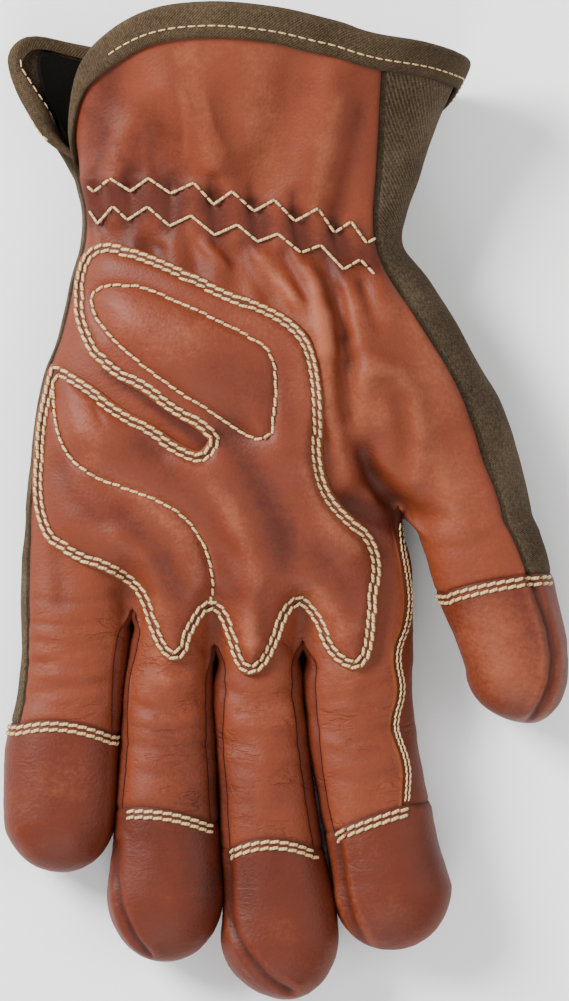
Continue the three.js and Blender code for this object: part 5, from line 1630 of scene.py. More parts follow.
def add_folds(skin: Skin) -> None:
    """Moves the skin's points along their normals by the traced folds, slack ripples and the caps' seams.

    The strips between the fingers swell until they meet below each crotch.

    Args:
        skin: the welded skin, which is changed in place.
    """
    x, y = skin.points[:, 0], skin.points[:, 1]
    thumb_root = np.exp(-(((y - THUMB_CROTCH_Y) / 6) ** 2)) * smooth((x - 24) / 6)
    up = smooth((skin.points[:, 2] - 6) / 8)
    points = relax(skin.points, skin.quads, 0.6 * thumb_root * up, 12)
    normals = vertex_normals(points, skin.quads)
    facing = smooth((normals[:, 2] - 0.05) / 0.5)
    leather = np.zeros(len(points))
    leather[np.unique(skin.quads[skin.label != Panel.BACK.value])] = 1
    xy = points[:, :2]
    drape = 0.30 * noise(points, 13, 3) + 0.12 * noise(points, 5.0, 4)
    finger = smooth((-24 - points[:, 1]) / 14)
    across_fold = noise(points * np.array([0.22, 1, 0.35]), 2.6, 5) + 0.6 * noise(points, 1.6, 6)
    move = drape + facing * leather * fold_sum(xy, HIDE_FOLDS) + 0.085 * finger * leather * across_fold
    cap_ids = np.unique(skin.quads[skin.label >= Panel.CAP_LITTLE.value])
    on_cap = np.zeros(len(points))
    on_cap[cap_ids] = 1
    for seam in CAP_SEAMS:
        d = distance_to_path(xy, seam)
        groove = -0.85 * np.exp(-((d / 0.8) ** 2)) + 0.34 * np.exp(-(((d - 2.0) / 1.1) ** 2))
        move = move + on_cap * smooth((normals[:, 2] - 0.15) / 0.45) * groove
    for i, panel in enumerate(STRIPS.values(), 1):
        ids = np.unique(skin.quads[skin.label == panel.value])
        z = points[ids, 2]
        closed = smooth((21.5 - z) / 3) * smooth((z - 5) / 4)
        move[ids] += closed * GloveForm.open_eye(CROTCHES[i, 1] - points[ids, 1])
    by_rim = smooth((points[:, 1] - 96) / 14)
    fixed = smooth((points[:, 2] - 0.4) / 1.2) * (1 - by_rim)
    cloth = 1 - leather
    move = move * np.where(cloth > 0, 0.55 + 0.45 * fixed, 1) * mix(1, fixed, by_rim)
    skin.points = points + normals * move[:, None]
    skin.points[:, 2] = np.maximum(skin.points[:, 2], 0)
    skin.normals = vertex_normals(skin.points, skin.quads)


class Value:
    """A number socket whose operators add Math nodes."""

    def __init__(self, graph: "Graph", socket: bpy.types.NodeSocket) -> None:
        """Wraps an output socket of a graph."""
        self.graph = graph
        self.socket = socket

    def _math(self, operation: str, *others: "Value | float") -> "Value":
        """Returns the result of a Math node on this value and others."""
        inputs = dict(enumerate((self, *others)))
        return self.graph.value("ShaderNodeMath", {"operation": operation}, inputs)

    def __add__(self, other: "Value | float") -> "Value":
        """Returns the sum."""
        return self._math("ADD", other)

    def __mul__(self, other: "Value | float") -> "Value":
        """Returns the product."""
        return self._math("MULTIPLY", other)

    def __sub__(self, other: "Value | float") -> "Value":
        """Returns the difference."""
        return self._math("SUBTRACT", other)

    def __rsub__(self, other: float) -> "Value":
        """Returns the difference from a number, as in 1 - mask."""
        return (self * -1.0) + other

    def sine(self) -> "Value":
        """Returns the sine."""
        return self._math("SINE")

    def ramp(self, low: float, high: float) -> "Value":
        """Returns 0 below low, 1 above high and a smooth step between."""
        settings = {"interpolation_type": "SMOOTHSTEP"}
        return self.graph.value("ShaderNodeMapRange", settings, {0: self, 1: low, 2: high}, 0)


class Graph:
    """The node tree of one material."""

    def __init__(self, name: str) -> None:
        """Makes an empty material with its own tree."""
        self.material = bpy.data.materials.new(name)
        self.material.use_nodes = True
        self.tree = self.material.node_tree
        self.tree.nodes.clear()

    def node(self, kind: str, settings: dict[str, Any] | None = None,
             inputs: dict[int | str, Any] | None = None) -> bpy.types.Node:
        """Adds a node.

        Args:
            kind: the node's type.
            settings: its properties, set before its sockets.
            inputs: values, Value objects or output sockets for its input sockets.

        Returns:
            The node.
        """
        node = self.tree.nodes.new(kind)
        for key, value in (settings or {}).items():
            setattr(node, key, value)
        for key, value in (inputs or {}).items():
            value = value.socket if isinstance(value, Value) else value
            if isinstance(value, bpy.types.NodeSocket):
                self.tree.links.new(value, node.inputs[key])
            else:
                node.inputs[key].default_value = value
        return node

    def value(self, kind: str, settings: dict[str, Any] | None = None,
              inputs: dict[int | str, Any] | None = None, output: int | str = 0) -> Value:
        """Adds a node and returns one of its outputs as a number."""
        return Value(self, self.node(kind, settings, inputs).outputs[output])

    def place(self) -> bpy.types.NodeSocket:
        """Returns the piece's own coordinates in metres."""
        return self.node("ShaderNodeTexCoord").outputs["Object"]

    def attribute(self, name: str) -> Value:
        """Returns a number attribute of the mesh."""
        return self.value("ShaderNodeAttribute", {"attribute_name": name}, None, "Fac")

    def noise(self, scale: float, detail: float = 3.0, stretch: tuple[float, float, float] = (1, 1, 1),
              rough: float = 0.5) -> Value:
        """Returns noise from 0 to 1 on the piece's coordinates, with the given cells to the metre."""
        vector = self.node("ShaderNodeVectorMath", {"operation": "MULTIPLY"}, {0: self.place(), 1: stretch})
        inputs = {"Vector": vector.outputs[0], "Scale": scale, "Detail": detail, "Roughness": rough}
        return self.value("ShaderNodeTexNoise", None, inputs, "Fac")

    def mix(self, mask: Value | float, a: Any, b: Any) -> bpy.types.NodeSocket:
        """Returns the colour blend from a to b."""
        node = self.node("ShaderNodeMix", {"data_type": "RGBA"}, {0: mask, 6: as_colour(a), 7: as_colour(b)})
        return node.outputs[2]

    def cloth_uv(self) -> tuple[Value, Value]:
        """Returns the piece's own two coordinates."""
        layer = self.node("ShaderNodeUVMap", {"uv_map": "UVMap"})
        parts = self.node("ShaderNodeSeparateXYZ", None, {0: layer.outputs[0]})
        return Value(self, parts.outputs[0]), Value(self, parts.outputs[1])

    def finish(self, colour: Any, roughness: Value | float, height: Value | None = None,
               distance: float = 0.0002, strength: float = 1.0, **constants: float) -> bpy.types.Material:
        """Ends the tree in a Principled shader.

        Args:
            colour: base colour, linear.
            roughness: a number or a Value.
            height: bump height, or None.
            distance: height of the bump in metres.
            strength: strength of the bump.
            constants: other sockets of the shader, with underscores for spaces.

        Returns:
            The material.
        """
        inputs: dict[int | str, Any] = {"Base Color": as_colour(colour), "Roughness": roughness}
        inputs.update({key.replace("_", " "): value for key, value in constants.items()})
        if height is not None:
            bump = self.node("ShaderNodeBump", None,
                             {"Height": height, "Distance": distance, "Strength": strength})
            inputs["Normal"] = bump.outputs[0]
        shader = self.node("ShaderNodeBsdfPrincipled", None, inputs)
        self.node("ShaderNodeOutputMaterial", None, {"Surface": shader.outputs[0]})
        return self.material


def as_colour(colour: Any) -> Any:
    """Returns three numbers with an alpha of one, and a socket unchanged."""
    return (*colour, 1.0) if isinstance(colour, tuple) and len(colour) == 3 else colour


@dataclass(frozen=True)
class Leather:
    """Smooth pull-up leather with cloudy colour, pores and wrinkles; ridges get painted highlight, and
    creases and seams painted shade.
    """

    name: str
    # deep is painted shade in folds, creases and seams and the dark end of the mottling; pale is painted
    # highlight on ridges and the pale end of the mottling.
    deep: tuple[float, float, float] = (0.058, 0.0080, 0.0022)
    body: tuple[float, float, float] = (0.135, 0.0246, 0.0075)
    pale: tuple[float, float, float] = (0.228, 0.0620, 0.0265)
    raw: tuple[float, float, float] = (0.24, 0.060, 0.015)
    gloss: float = 0.58
    creased: float = 1.0

    def build(self) -> bpy.types.Material:
        """Returns the material."""
        g = Graph(self.name)
        painted_shading, rim, cut = g.attribute("painted_shading"), g.attribute("rim"), g.attribute("cut")
        cloud = g.noise(48, 5, rough=0.62)
        broad = g.noise(17, 2)
        pores = g.value("ShaderNodeTexVoronoi", {"feature": "F1"},
                        {"Vector": g.place(), "Scale": 1250.0}, "Distance")
        fine = g.noise(900, 4, rough=0.7)
        lines = g.noise(260, 3, (0.5, 1.3, 0.8), 0.6)
        crease = self.creases(g)
        # The tone mixes painted light with the leather's own mottling: the fold attribute paints highlight on
        # ridges and shade in creases, and the fine creases are painted darker as shade; the noises are random
        # mottling.
        tone = (painted_shading * 0.55) + (cloud - 0.5) * 1.1 + (broad - 0.5) * 0.8
        tone = tone + (fine - 0.5) * 0.8 + (lines - 0.5) * 0.3 - crease * 0.13
        dark_mottle_and_shade = g.mix((tone * -1.0).ramp(-0.05, 1.05), self.body, self.deep)
        pale_mottle_and_light = g.mix(tone.ramp(0.0, 0.9), dark_mottle_and_shade, self.pale)
        # Painted shade along each seam, where the edge rolls in.
        seam = g.mix(rim * 0.6, pale_mottle_and_light, self.deep)
        edge = g.mix(cut, seam, self.raw)
        edge = g.mix(g.attribute("inside"), edge, (0.060, 0.020, 0.0085))
        height = (pores * -0.4) + (fine * 0.35) + (lines * 0.9) - crease * 1.25
        rough = (cloud * 0.16) + (fine * 0.12) + (self.gloss - 0.13) + rim * 0.1
        return g.finish(edge, rough, height, 0.0002, 0.75, Specular_IOR_Level=0.23)

    def creases(self, g: Graph) -> Value:
        """Returns 1 in fine broken lines across the fingers, and 0 between them and away from the fingers."""
        along = g.value("ShaderNodeSeparateXYZ", None, {0: g.place()}, 1)
        wave = g.noise(170, 3, (0.4, 1.5, 1.0), 0.55) - 0.5
        patches = (g.noise(95, 2, (1.0, 1.4, 1.0)) * 6.0 - 2.9).ramp(0.0, 1.0)
        thin = 1.0 - (wave * wave * 280.0).ramp(0.0, 1.0)
        return thin * patches * (along * -60.0).ramp(1.0, 2.2) * self.creased


@dataclass(frozen=True)
class Twill:
    """Cloth woven in slanted ribs, read from the piece's cloth coordinates."""

    name: str
    deep: tuple[float, float, float] = (0.024, 0.0145, 0.0070)
    body: tuple[float, float, float] = (0.070, 0.0485, 0.0290)
    pale: tuple[float, float, float] = (0.142, 0.1020, 0.0650)
    rib: float = 0.00074
    slant: float = 0.7

    def build(self) -> bpy.types.Material:
        """Returns the material."""
        g = Graph(self.name)
        u, v = g.cloth_uv()
        wobble = (g.noise(420, 2) - 0.5) * 0.9
        turn = 2 * math.pi
        rib = ((u * self.slant + v) * (turn / self.rib) + wobble).sine() * 0.5 + 0.5
        warp = (u * (turn / (self.rib * 0.52)) + wobble).sine() * 0.5 + 0.5
        weft = (v * (turn / (self.rib * 0.52)) + wobble).sine() * 0.5 + 0.5
        height = rib * 0.42 + warp * 0.26 + weft * 0.26
        fleck = g.noise(1900, 2, (1, 0.55, 1))
        worn = g.noise(60, 4)
        tone = height * 0.8 + (fleck - 0.5) * 1.1 + (worn - 0.5) * 0.8 + 0.12
        colour = g.mix(tone.ramp(0.18, 0.62), self.deep, self.body)
        colour = g.mix(tone.ramp(0.62, 1.15), colour, self.pale)
        # Painted shade along the seams and along the binding's outer foot.
        colour = g.mix(g.attribute("rim") * 0.6, colour, self.deep)
        return g.finish(colour, fleck * 0.1 + 0.82, height, 0.00022, 0.9,
                        Specular_IOR_Level=0.08)


@dataclass(frozen=True)
class Thread:
    """Twisted sewing thread: slanted plies along its own coordinates."""

    name: str
    deep: tuple[float, float, float] = (0.150, 0.080, 0.028)
    pale: tuple[float, float, float] = (0.72, 0.515, 0.255)

    def build(self) -> bpy.types.Material:
        """Returns the material."""
        g = Graph(self.name)
        u, v = g.cloth_uv()
        ply = ((u * (2 * math.pi / 0.00085)) + v * 6283.0).sine() * 0.5 + 0.5
        soil = g.noise(700, 2)
        # Painted shade at each stitch's ends, where it dips into its holes.
        ends = (u * u * 6.0e5).ramp(0.25, 1.05)
        colour = g.mix(ply * 0.45 + soil * 0.5 + 0.12 - ends * 0.5, self.deep, self.pale)
        return g.finish(colour, 0.62, ply, 0.00008, 0.6, Specular_IOR_Level=0.3)


@dataclass(frozen=True)
class Nap:
    """Black brushed lining."""

    name: str

    def build(self) -> bpy.types.Material:
        """Returns the material."""
        g = Graph(self.name)
        fuzz = g.noise(1400, 4, rough=0.7)
        patchy = g.noise(90, 3)
        colour = g.mix(fuzz * 0.6 + patchy * 0.4, (0.0018, 0.0016, 0.0014), (0.0075, 0.0068, 0.006))
        return g.finish(colour, 0.93, fuzz, 0.0003, 0.8, Specular_IOR_Level=0.04)


@dataclass(frozen=True)
class Paper:
    """Pale studio floor."""

    name: str

    def build(self) -> bpy.types.Material:
        """Returns the material."""
        g = Graph(self.name)
        return g.finish(g.mix(g.noise(9, 3), (0.90, 0.90, 0.90), (0.93, 0.93, 0.93)), 0.9)


@dataclass
class PalmPatch:
    """The padded overlay on the palm: a quilted sheet trimmed to its outline, with a raw cut edge."""

    form: GloveForm
    margin: float = 1.0
    row_gap: float = 1.55
    edge: float = 2.0
    puff: float = 2.2

    def outlines(self) -> tuple[Array, Array]:
        """Returns the stitch outline and the cut edge outside it, as smooth closed paths."""
        stitch = smooth_path(PATCH_OUTLINE, 0.8, closed=True)
        return stitch, ring_inside(stitch, -self.margin, 0.07 * self.margin)

    def depth(self, xy: Array, path: Array) -> Array:
        """Returns the distance inside a closed path, negative outside it."""
        d = distance_to_path(xy, np.concatenate([path, path[:1]]))
        return np.where(inside_path(xy, path), d, -d)

    def base(self, xy: Array) -> Array:
        """Returns the height of the smooth palm under the patch.

        Args:
            xy: places on the palm.

        Returns:
            One height for each place.
        """
        x, y = xy[..., 0], xy[..., 1]
        inset = np.maximum(x, self.form.rail_x(0, y) + 1.5)
        fade = 0.2 * np.exp(-(((y - WRIST_MIDDLE) / WRIST_REACH) ** 2))
        return self.form.height(inset, y, Face.PALM, gathered=False) - fade

    def rise(self, xy: Array, stitch: Array) -> Array:
        """Returns the patch's thickness over the palm.

        A rounded edge, a dip at each border row and each quilting row, and a puff that grows inwards from
        them, with soft folds and slack ripples, and never thinner than 0.6.

        Args:
            xy: places on the palm.
            stitch: the outer stitch row as a closed path.

        Returns:
            Heights in millimetres.
        """
        d = self.depth(xy, stitch)
        roll = np.sqrt(np.clip((d + self.margin) / 0.8, 0, 1))
        h = 0.9 + (self.edge - 0.9) * roll
        h = h - 0.42 * np.exp(-((d / 0.42) ** 2)) - 0.5 * np.exp(-(((d - self.row_gap) / 0.5) ** 2))
        h = h + self.puff * (1 - np.exp(-np.maximum(0, d - self.row_gap) / 4.2))
        quilt = np.minimum(distance_to_path(xy, smooth_path(QUILT_UPPER, 1.2)),
                           distance_to_path(xy, smooth_path(QUILT_LOWER, 1.2)))
        inner = smooth((d - 1.5) / 2)
        h = h - inner * (0.9 * np.exp(-((quilt / 0.8) ** 2)) + 1.15 * np.exp(-((quilt / 3.8) ** 2)))
        flat = np.concatenate([xy, 0 * xy[..., :1]], -1)
        slack = 0.16 * noise(flat, 9, 11) + 0.07 * noise(flat, 3.6, 12)
        return np.maximum(h + inner * (1.35 * fold_sum(xy, PAD_FOLDS) + slack), 0.6)

    def sheet(self) -> tuple[Array, Array, Array]:
        """Returns the sheet's points, triangles and the loop of its cut edge.

        The points are an even grid, closer rings along the outline and along the quilting, and the outline,
        joined into triangles inside it.
        """
        stitch, cut = self.outlines()
        low, high = cut.min(0), cut.max(0)
        xs, ys = np.arange(low[0], high[0], 0.85), np.arange(low[1], high[1], 0.85)
        grid = np.stack(np.meshgrid(xs, ys), -1).reshape(-1, 2)
        grid = grid[self.depth(grid, stitch) > self.row_gap + 1.1]
        steps = (-0.62, -0.32, 0.0, 0.35, 0.85, 1.3, self.row_gap, 2.2)
        free = np.concatenate([*(ring_inside(stitch, step, 0.06) for step in steps), grid])
        count = len(cut)
        loop = np.stack([np.arange(count), (np.arange(count) + 1) % count], -1)
        flat = [Vector(point) for point in np.concatenate([cut, free]).tolist()]
        found, _, faces, *_ = delaunay_2d_cdt(flat, loop.tolist(), [], 1, 1e-4)
        xy = np.array([point[:] for point in found])
        triangles = np.array([face for face in faces if len(face) == 3])
        a, b, c = (xy[triangles[:, i]] for i in range(3))
        turn = (b[:, 0] - a[:, 0]) * (c[:, 1] - a[:, 1]) - (b[:, 1] - a[:, 1]) * (c[:, 0] - a[:, 0])
        triangles[turn < 0] = triangles[turn < 0][:, ::-1]
        return xy, triangles, stitch

    def mesh(self) -> tuple[Mesh, Surface]:
        """Returns the patch as a closed pad, and its top as a surface for stitches."""
        xy, triangles, stitch = self.sheet()
        top = self.base(xy) + self.rise(xy, stitch)
        bottom = self.base(xy) - 0.2
        count = len(xy)
        a, b, border = edges_of(triangles)
        walls = np.stack([a[border], a[border] + count, b[border] + count, b[border]], -1)
        upper = np.concatenate([xy, top[:, None]], -1)
        lower = np.concatenate([xy, bottom[:, None]], -1)
        # Painted light of the pad folds: highlight on their ridges, shade in their creases.
        tone = fold_sum(xy, PAD_FOLDS)
        d = self.depth(xy, stitch)
        # rim paints shade on the band along the two border rows and between them.
        rim = np.exp(-(((d - self.row_gap / 2) / 1.15) ** 4))
        cut = smooth((-d - 0.35) / 0.4)
        numbers = {"painted_shading": np.concatenate([tone, tone]), "rim": np.concatenate([rim, rim]),
                   "cut": np.concatenate([cut, 0.55 + 0 * cut])}
        faces = triangles.tolist() + (triangles[:, ::-1] + count).tolist() + walls.tolist()
        return Mesh(np.concatenate([upper, lower]), faces, numbers), Surface(upper, triangles)


@dataclass
class Stitches:
    """Rows of short thread arches, collected and made as one piece."""

    length: float = 3.2
    pitch: float = 2.4
    radius: float = 0.44
    parts: list[tuple[Array, Array, Array]] = field(default_factory=list)

    def lay(self, centres: Array, along: Array, normals: Array) -> None:
        """Adds stitches at places, each with its own direction and surface normal."""
        along = unit(along - (along * normals).sum(-1, keepdims=True) * normals)
        self.parts.append((centres, along, normals))

    def on_palm(self, surface: Surface, path: Array, closed: bool = False, jog: float = 0.0) -> None:
        """Lays a row along a path seen from above.

        Args:
            surface: what the row is sewn into.
            path: points of the row in the XY plane.
            closed: whether the row meets itself.
            jog: how far each stitch turns from the row, in radians.
        """
        ends = smooth_path(path, self.pitch, closed)
        nexts = np.roll(ends, -1, axis=0) if closed else ends[1:]
        starts = ends if closed else ends[:-1]
        self.between(surface, starts, nexts, jog)

    def between(
        self, surface: Surface, starts: Array, nexts: Array, jog: float = 0.0, taut: bool = False
    ) -> None:
        """Lays one stitch between each pair of needle holes.

        Args:
            surface: what the row is sewn into.
            starts: XY places of the first holes.
            nexts: XY places of the second holes.
            jog: how far each stitch turns from the row, in radians.
            taut: whether the row bridges small hollows, as over the elastic.
        """
        middle = (starts + nexts) / 2
        way = unit(nexts - starts)
        turned = way * math.cos(jog) + np.stack([-way[:, 1], way[:, 0]], -1) * math.sin(jog)
        centre, normal, met = surface.drop(middle)
        turned = turned[met]
        slope = -(turned * normal[:, :2]).sum(-1) / np.maximum(normal[:, 2], 0.2)
        if taut:
            padded = np.pad(centre[:, 2], 2, mode="edge")
            even = np.convolve(padded, np.full(5, 0.2), "valid")
            centre[:, 2] = np.maximum(centre[:, 2], even)
            slope = np.gradient(centre[:, 2]) / self.pitch
            normal = np.array([0.0, 0.0, 1.0]) + 0 * normal
        self.lay(centre + 0.16 * normal, np.concatenate([turned, slope[:, None]], -1), normal)

    def mesh(self) -> Mesh:
        """Returns all stitches: a round thread that rises out of one hole and dips into the next.

        Along a stitch, s runs from -1 to 1. Its middle line is raised by 0.55 radius times 1 - s squared and
        a twentieth of a radius more. Its radius is the root of 1 - s to the fourth.
        """
        centres, along, normals = (np.concatenate([part[i] for part in self.parts]) for i in range(3))
        sides = np.cross(normals, along)
        s = np.array([-1, -0.9, -0.62, 0, 0.62, 0.9, 1.0])
        angle = np.arange(7) / 7 * 2 * math.pi
        size = self.radius * np.sqrt(np.maximum(0.004, 1 - s**4))
        lift = self.radius * (0.55 * (1 - s**2) + 0.05)
        ring = size[:, None] * np.stack([np.cos(angle), np.sin(angle)])[:, None, :]
        local = np.stack([np.broadcast_to(s[:, None] * self.length / 2, ring[0].shape),
                          ring[0], ring[1] + lift[:, None]], -1)
        frame_ = np.stack([along, sides, normals], 1)
        points = centres[:, None, None] + np.einsum("rak,nkc->nrac", local, frame_)
        count, rows, columns = points.shape[:3]
        ids = np.arange(rows * columns).reshape(rows, columns)
        right = np.roll(ids, -1, axis=1)
        quads = np.stack([ids[:-1], right[:-1], right[1:], ids[1:]], -1).reshape(-1, 4)
        offset = np.arange(count)[:, None, None] * rows * columns
        faces = (quads[None] + offset).reshape(-1, 4).tolist()
        faces += (ids[0, ::-1][None] + offset[:, 0]).tolist() + (ids[-1][None] + offset[:, 0]).tolist()
        u = np.broadcast_to(local[..., 0] + 0 * local[..., 1], (count, rows, columns))
        v = np.broadcast_to(angle / (2 * math.pi), (count, rows, columns))
        uv = np.stack([u, v], -1).reshape(-1, 2)
        return Mesh(points.reshape(-1, 3), faces, {}, uv)


@dataclass
class CuffTrim:
    """The binding folded over the rim of the cuff, and the black sleeve inside it."""

    form: GloveForm
    q: Array
    rim_normals: Array
    thickness: float = 1.0
    clear: float = 0.5

    def share(self, width: float) -> Array:
        """Returns the share of the cuff's height that a strip of a width takes, narrower at the notch.

        Args:
            width: width of the strip.

        Returns:
            One share for each station.
        """
        q = self.q
        length = np.linalg.norm(self.form.cuff_point(q, 1.0) - self.form.cuff_point(q, 0.0), axis=-1)
        narrow = np.minimum(smooth((q % 12) / 1.2), smooth((12 - q) / 0.5))
        return np.clip(width * mix(0.15, 1, narrow) / length, 0.02, 0.85)

    def frame_at(self, lift: Array | float, own: Array | float) -> tuple[Array, Array, Array]:
        """Returns the cuff's point, its outward normal and the way out over the rim.

        Args:
            lift: height up the cuff at each station, 1 at the rim.
            own: how far the normal is the skin's own one at the rim.

        Returns:
            Three arrays of one row a station.
        """
        q = self.q
        lift = np.broadcast_to(lift, q.shape)
        here = self.form.cuff_point(q, lift)
        ahead, behind = (self.form.cuff_point((q + step) % 12, lift) for step in (0.04, -0.04))
        round_ = unit(ahead - behind)
        rise = unit(here - self.form.cuff_point(q, np.maximum(0, lift - 0.05)))
        corner = 1 - smooth(np.minimum(q / 0.5, (12 - q) / 0.5))
        blend = np.maximum(corner, own)[:, None]
        normal = unit(mix(unit(np.cross(round_, rise)), self.rim_normals, blend))
        return here, normal, unit(np.cross(normal, round_))

    def wall_depth(self) -> Array:
        """Returns how deep the binding's inner side starts: the wall and its clearance, more at the notch."""
        corner = 1 - smooth(np.minimum(self.q / 0.6, (12 - self.q) / 0.8))
        return HIDE_WALL + self.clear + 0.5 * corner

    def inner_foot(self) -> Array:
        """Returns the share of the binding's width at which its inner side ends, by station."""
        flap = smooth((self.q - 5.6) / 0.6) * smooth((12.02 - self.q) / 0.25)
        return 0.66 * flap

    def binding(self) -> Mesh:
        """Returns the binding: a profile carried along the rim.

        The profile climbs the outside of the wall, turns over the rim in a half ellipse, runs down inside,
        and comes back to its start against the wall.
        """
        foot = 1 - self.share(BINDING_WIDTH)
        inside, thick = self.wall_depth(), self.clear + self.thickness
        rows = []
        climb = np.linspace(0, 1, 9)

        def at(step: Array | float, outward: Array | float, over: Array | float) -> Array:
            """Returns points over the wall at a share of the strip's width."""
            here, normal, out = self.frame_at(mix(foot, 1, step), np.broadcast_to(step, self.q.shape) ** 2)
            p = here + normal * np.broadcast_to(outward, self.q.shape)[:, None]
            p = p + out * np.broadcast_to(over, self.q.shape)[:, None]
            p[:, 2] = np.maximum(p[:, 2], FLOOR_CLEAR)
            return p

        for step in climb:
            ease = 1 - 0.45 * math.exp(-((step / 0.12) ** 2))
            rows.append(at(step, self.clear + self.thickness * ease, 0))
        half, middle = (inside + self.thickness + thick) / 2, (thick - inside - self.thickness) / 2
        for angle in np.linspace(0.25, math.pi - 0.25, 8):
            rows.append(at(1, middle + half * math.cos(angle), thick * math.sin(angle) ** 0.8))
        low = self.inner_foot()
        for step in climb[::-1]:
            rows.append(at(mix(low, 1, step), -inside - self.thickness, 0))
        for step in (0.0, 0.5, 0.95):
            rows.append(at(mix(low, 1, step), -inside, 0))
        for step in (0.95, 0.5, 0.0):
            rows.append(at(step, self.clear, 0))
        points = np.stack(rows, 1)
        count, columns = points.shape[:2]
        ids = np.arange(count * columns).reshape(count, columns)
        below, right = np.roll(ids, -1, axis=0), np.roll(ids, -1, axis=1)
        both = np.roll(below, -1, axis=1)
        faces = np.stack([ids, below, both, right], -1).reshape(-1, 4)
        along, width = arc_length(points.mean(1)), arc_length(points)
        uv = np.stack([np.broadcast_to(along[:, None], width.shape), width], -1).reshape(-1, 2)
        # The binding's outer foot is marked for painted shade where it meets the hide.
        edge = np.zeros((count, columns))
        edge[:, 0] = 1
        return Mesh(points.reshape(-1, 3), faces.tolist(), {"rim": edge.ravel()}, uv)

    def stitch_rows(self, stitches: Stitches) -> None:
        """Lays a row through the binding, seen on its outer and its inner side.

        Args:
            stitches: the stitches that the row is added to.
        """
        q = self.q
        row = 1 - self.share(4.2)
        inner_row = 1 - self.share(1.4)
        sides = {1.0: self.frame_at(row, 0.3)[:2], -1.0: self.frame_at(inner_row, 0.8)[:2]}
        inside = self.wall_depth() + self.thickness
        for side, offset in ((1.0, self.clear + self.thickness + 0 * inside), (-1.0, inside)):
            here, normal = sides[side]
            used = (q > (0.95 if side > 0 else 11.2)) & (q < 11.8)
            line = (here + side * offset[:, None] * normal)[used]
            facing = side * normal[used]
            length = arc_length(line)
            at = np.arange(0, length[-1], stitches.pitch)
            ends = np.stack([np.interp(at, length, line[:, i]) for i in range(3)], -1)
            ways = np.stack([np.interp(at, length, facing[:, i]) for i in range(3)], -1)
            centre = (ends[1:] + ends[:-1]) / 2
            clear = centre[:, 2] > 0.8
            stitches.lay(centre[clear], (ends[1:] - ends[:-1])[clear], unit(ways[1:] + ways[:-1])[clear])

    def sleeve(self) -> Skin:
        """Returns the sleeve: the cuff's form from under the binding down into the wrist."""
        q = np.append(self.q, 12.0)
        trim = CuffTrim(self.form, q, np.concatenate([self.rim_normals, self.rim_normals[:1]]))
        corner = smooth(np.minimum(q / 0.9, (12 - q) / 1.1)) ** 1.5
        width = BINDING_WIDTH * (1 - trim.inner_foot()) + 0.8
        top = (1 - trim.share(1.0) * width) * corner
        v = np.linspace(0, 1, 26)[:, None]
        upper = self.form.cuff_point(q[None], top[None] * (1 - v))
        y = CUFF_START - np.linspace(0.25, 8, 8)[:, None]
        lower = self.form.trunk_point(y, q[None])
        skin = Skin()
        skin.grid(Panel.SLEEVE, np.concatenate([upper, lower]))
        skin.weld()
        return skin


class PanelSpec(NamedTuple):
    """A sewn panel: piece and node names, panels, wall, finish and how its edges roll."""

    name: str
    node: str
    slot: str
    finish: str
    panels: tuple[Panel, ...]
    thickness: float
    sink: float
    lift: float
    reach: float = 1.5


PANELS = (
    PanelSpec("palm_hide", "palm_leather", "palm_leather", "palm", (Panel.PALM,), HIDE_WALL, 0.32, 0.0, 0.9),
    PanelSpec("cloth_back", "back_fabric", "back_cloth", "cloth", (Panel.BACK,), CLOTH_WALL, 0.5, 0.0),
    *(PanelSpec(f"strip_{pair}", f"fourchette_{pair}", "side_leather", "side", (panel,), STRIP_WALL,
                0.36, 0.3, 0.8) for pair, panel in STRIPS.items()),
    PanelSpec("index_gusset", "index_side", "side_leather", "side", (Panel.INDEX_SIDE,), STRIP_WALL,
              0.4, -0.1, 1.0),
    *(PanelSpec(f"tip_{name}", f"cap_{name}", "tip_leather", "tip", (Panel[f"CAP_{name.upper()}"],),
                TIP_WALL, 0.45, 0.3) for name in DIGITS))


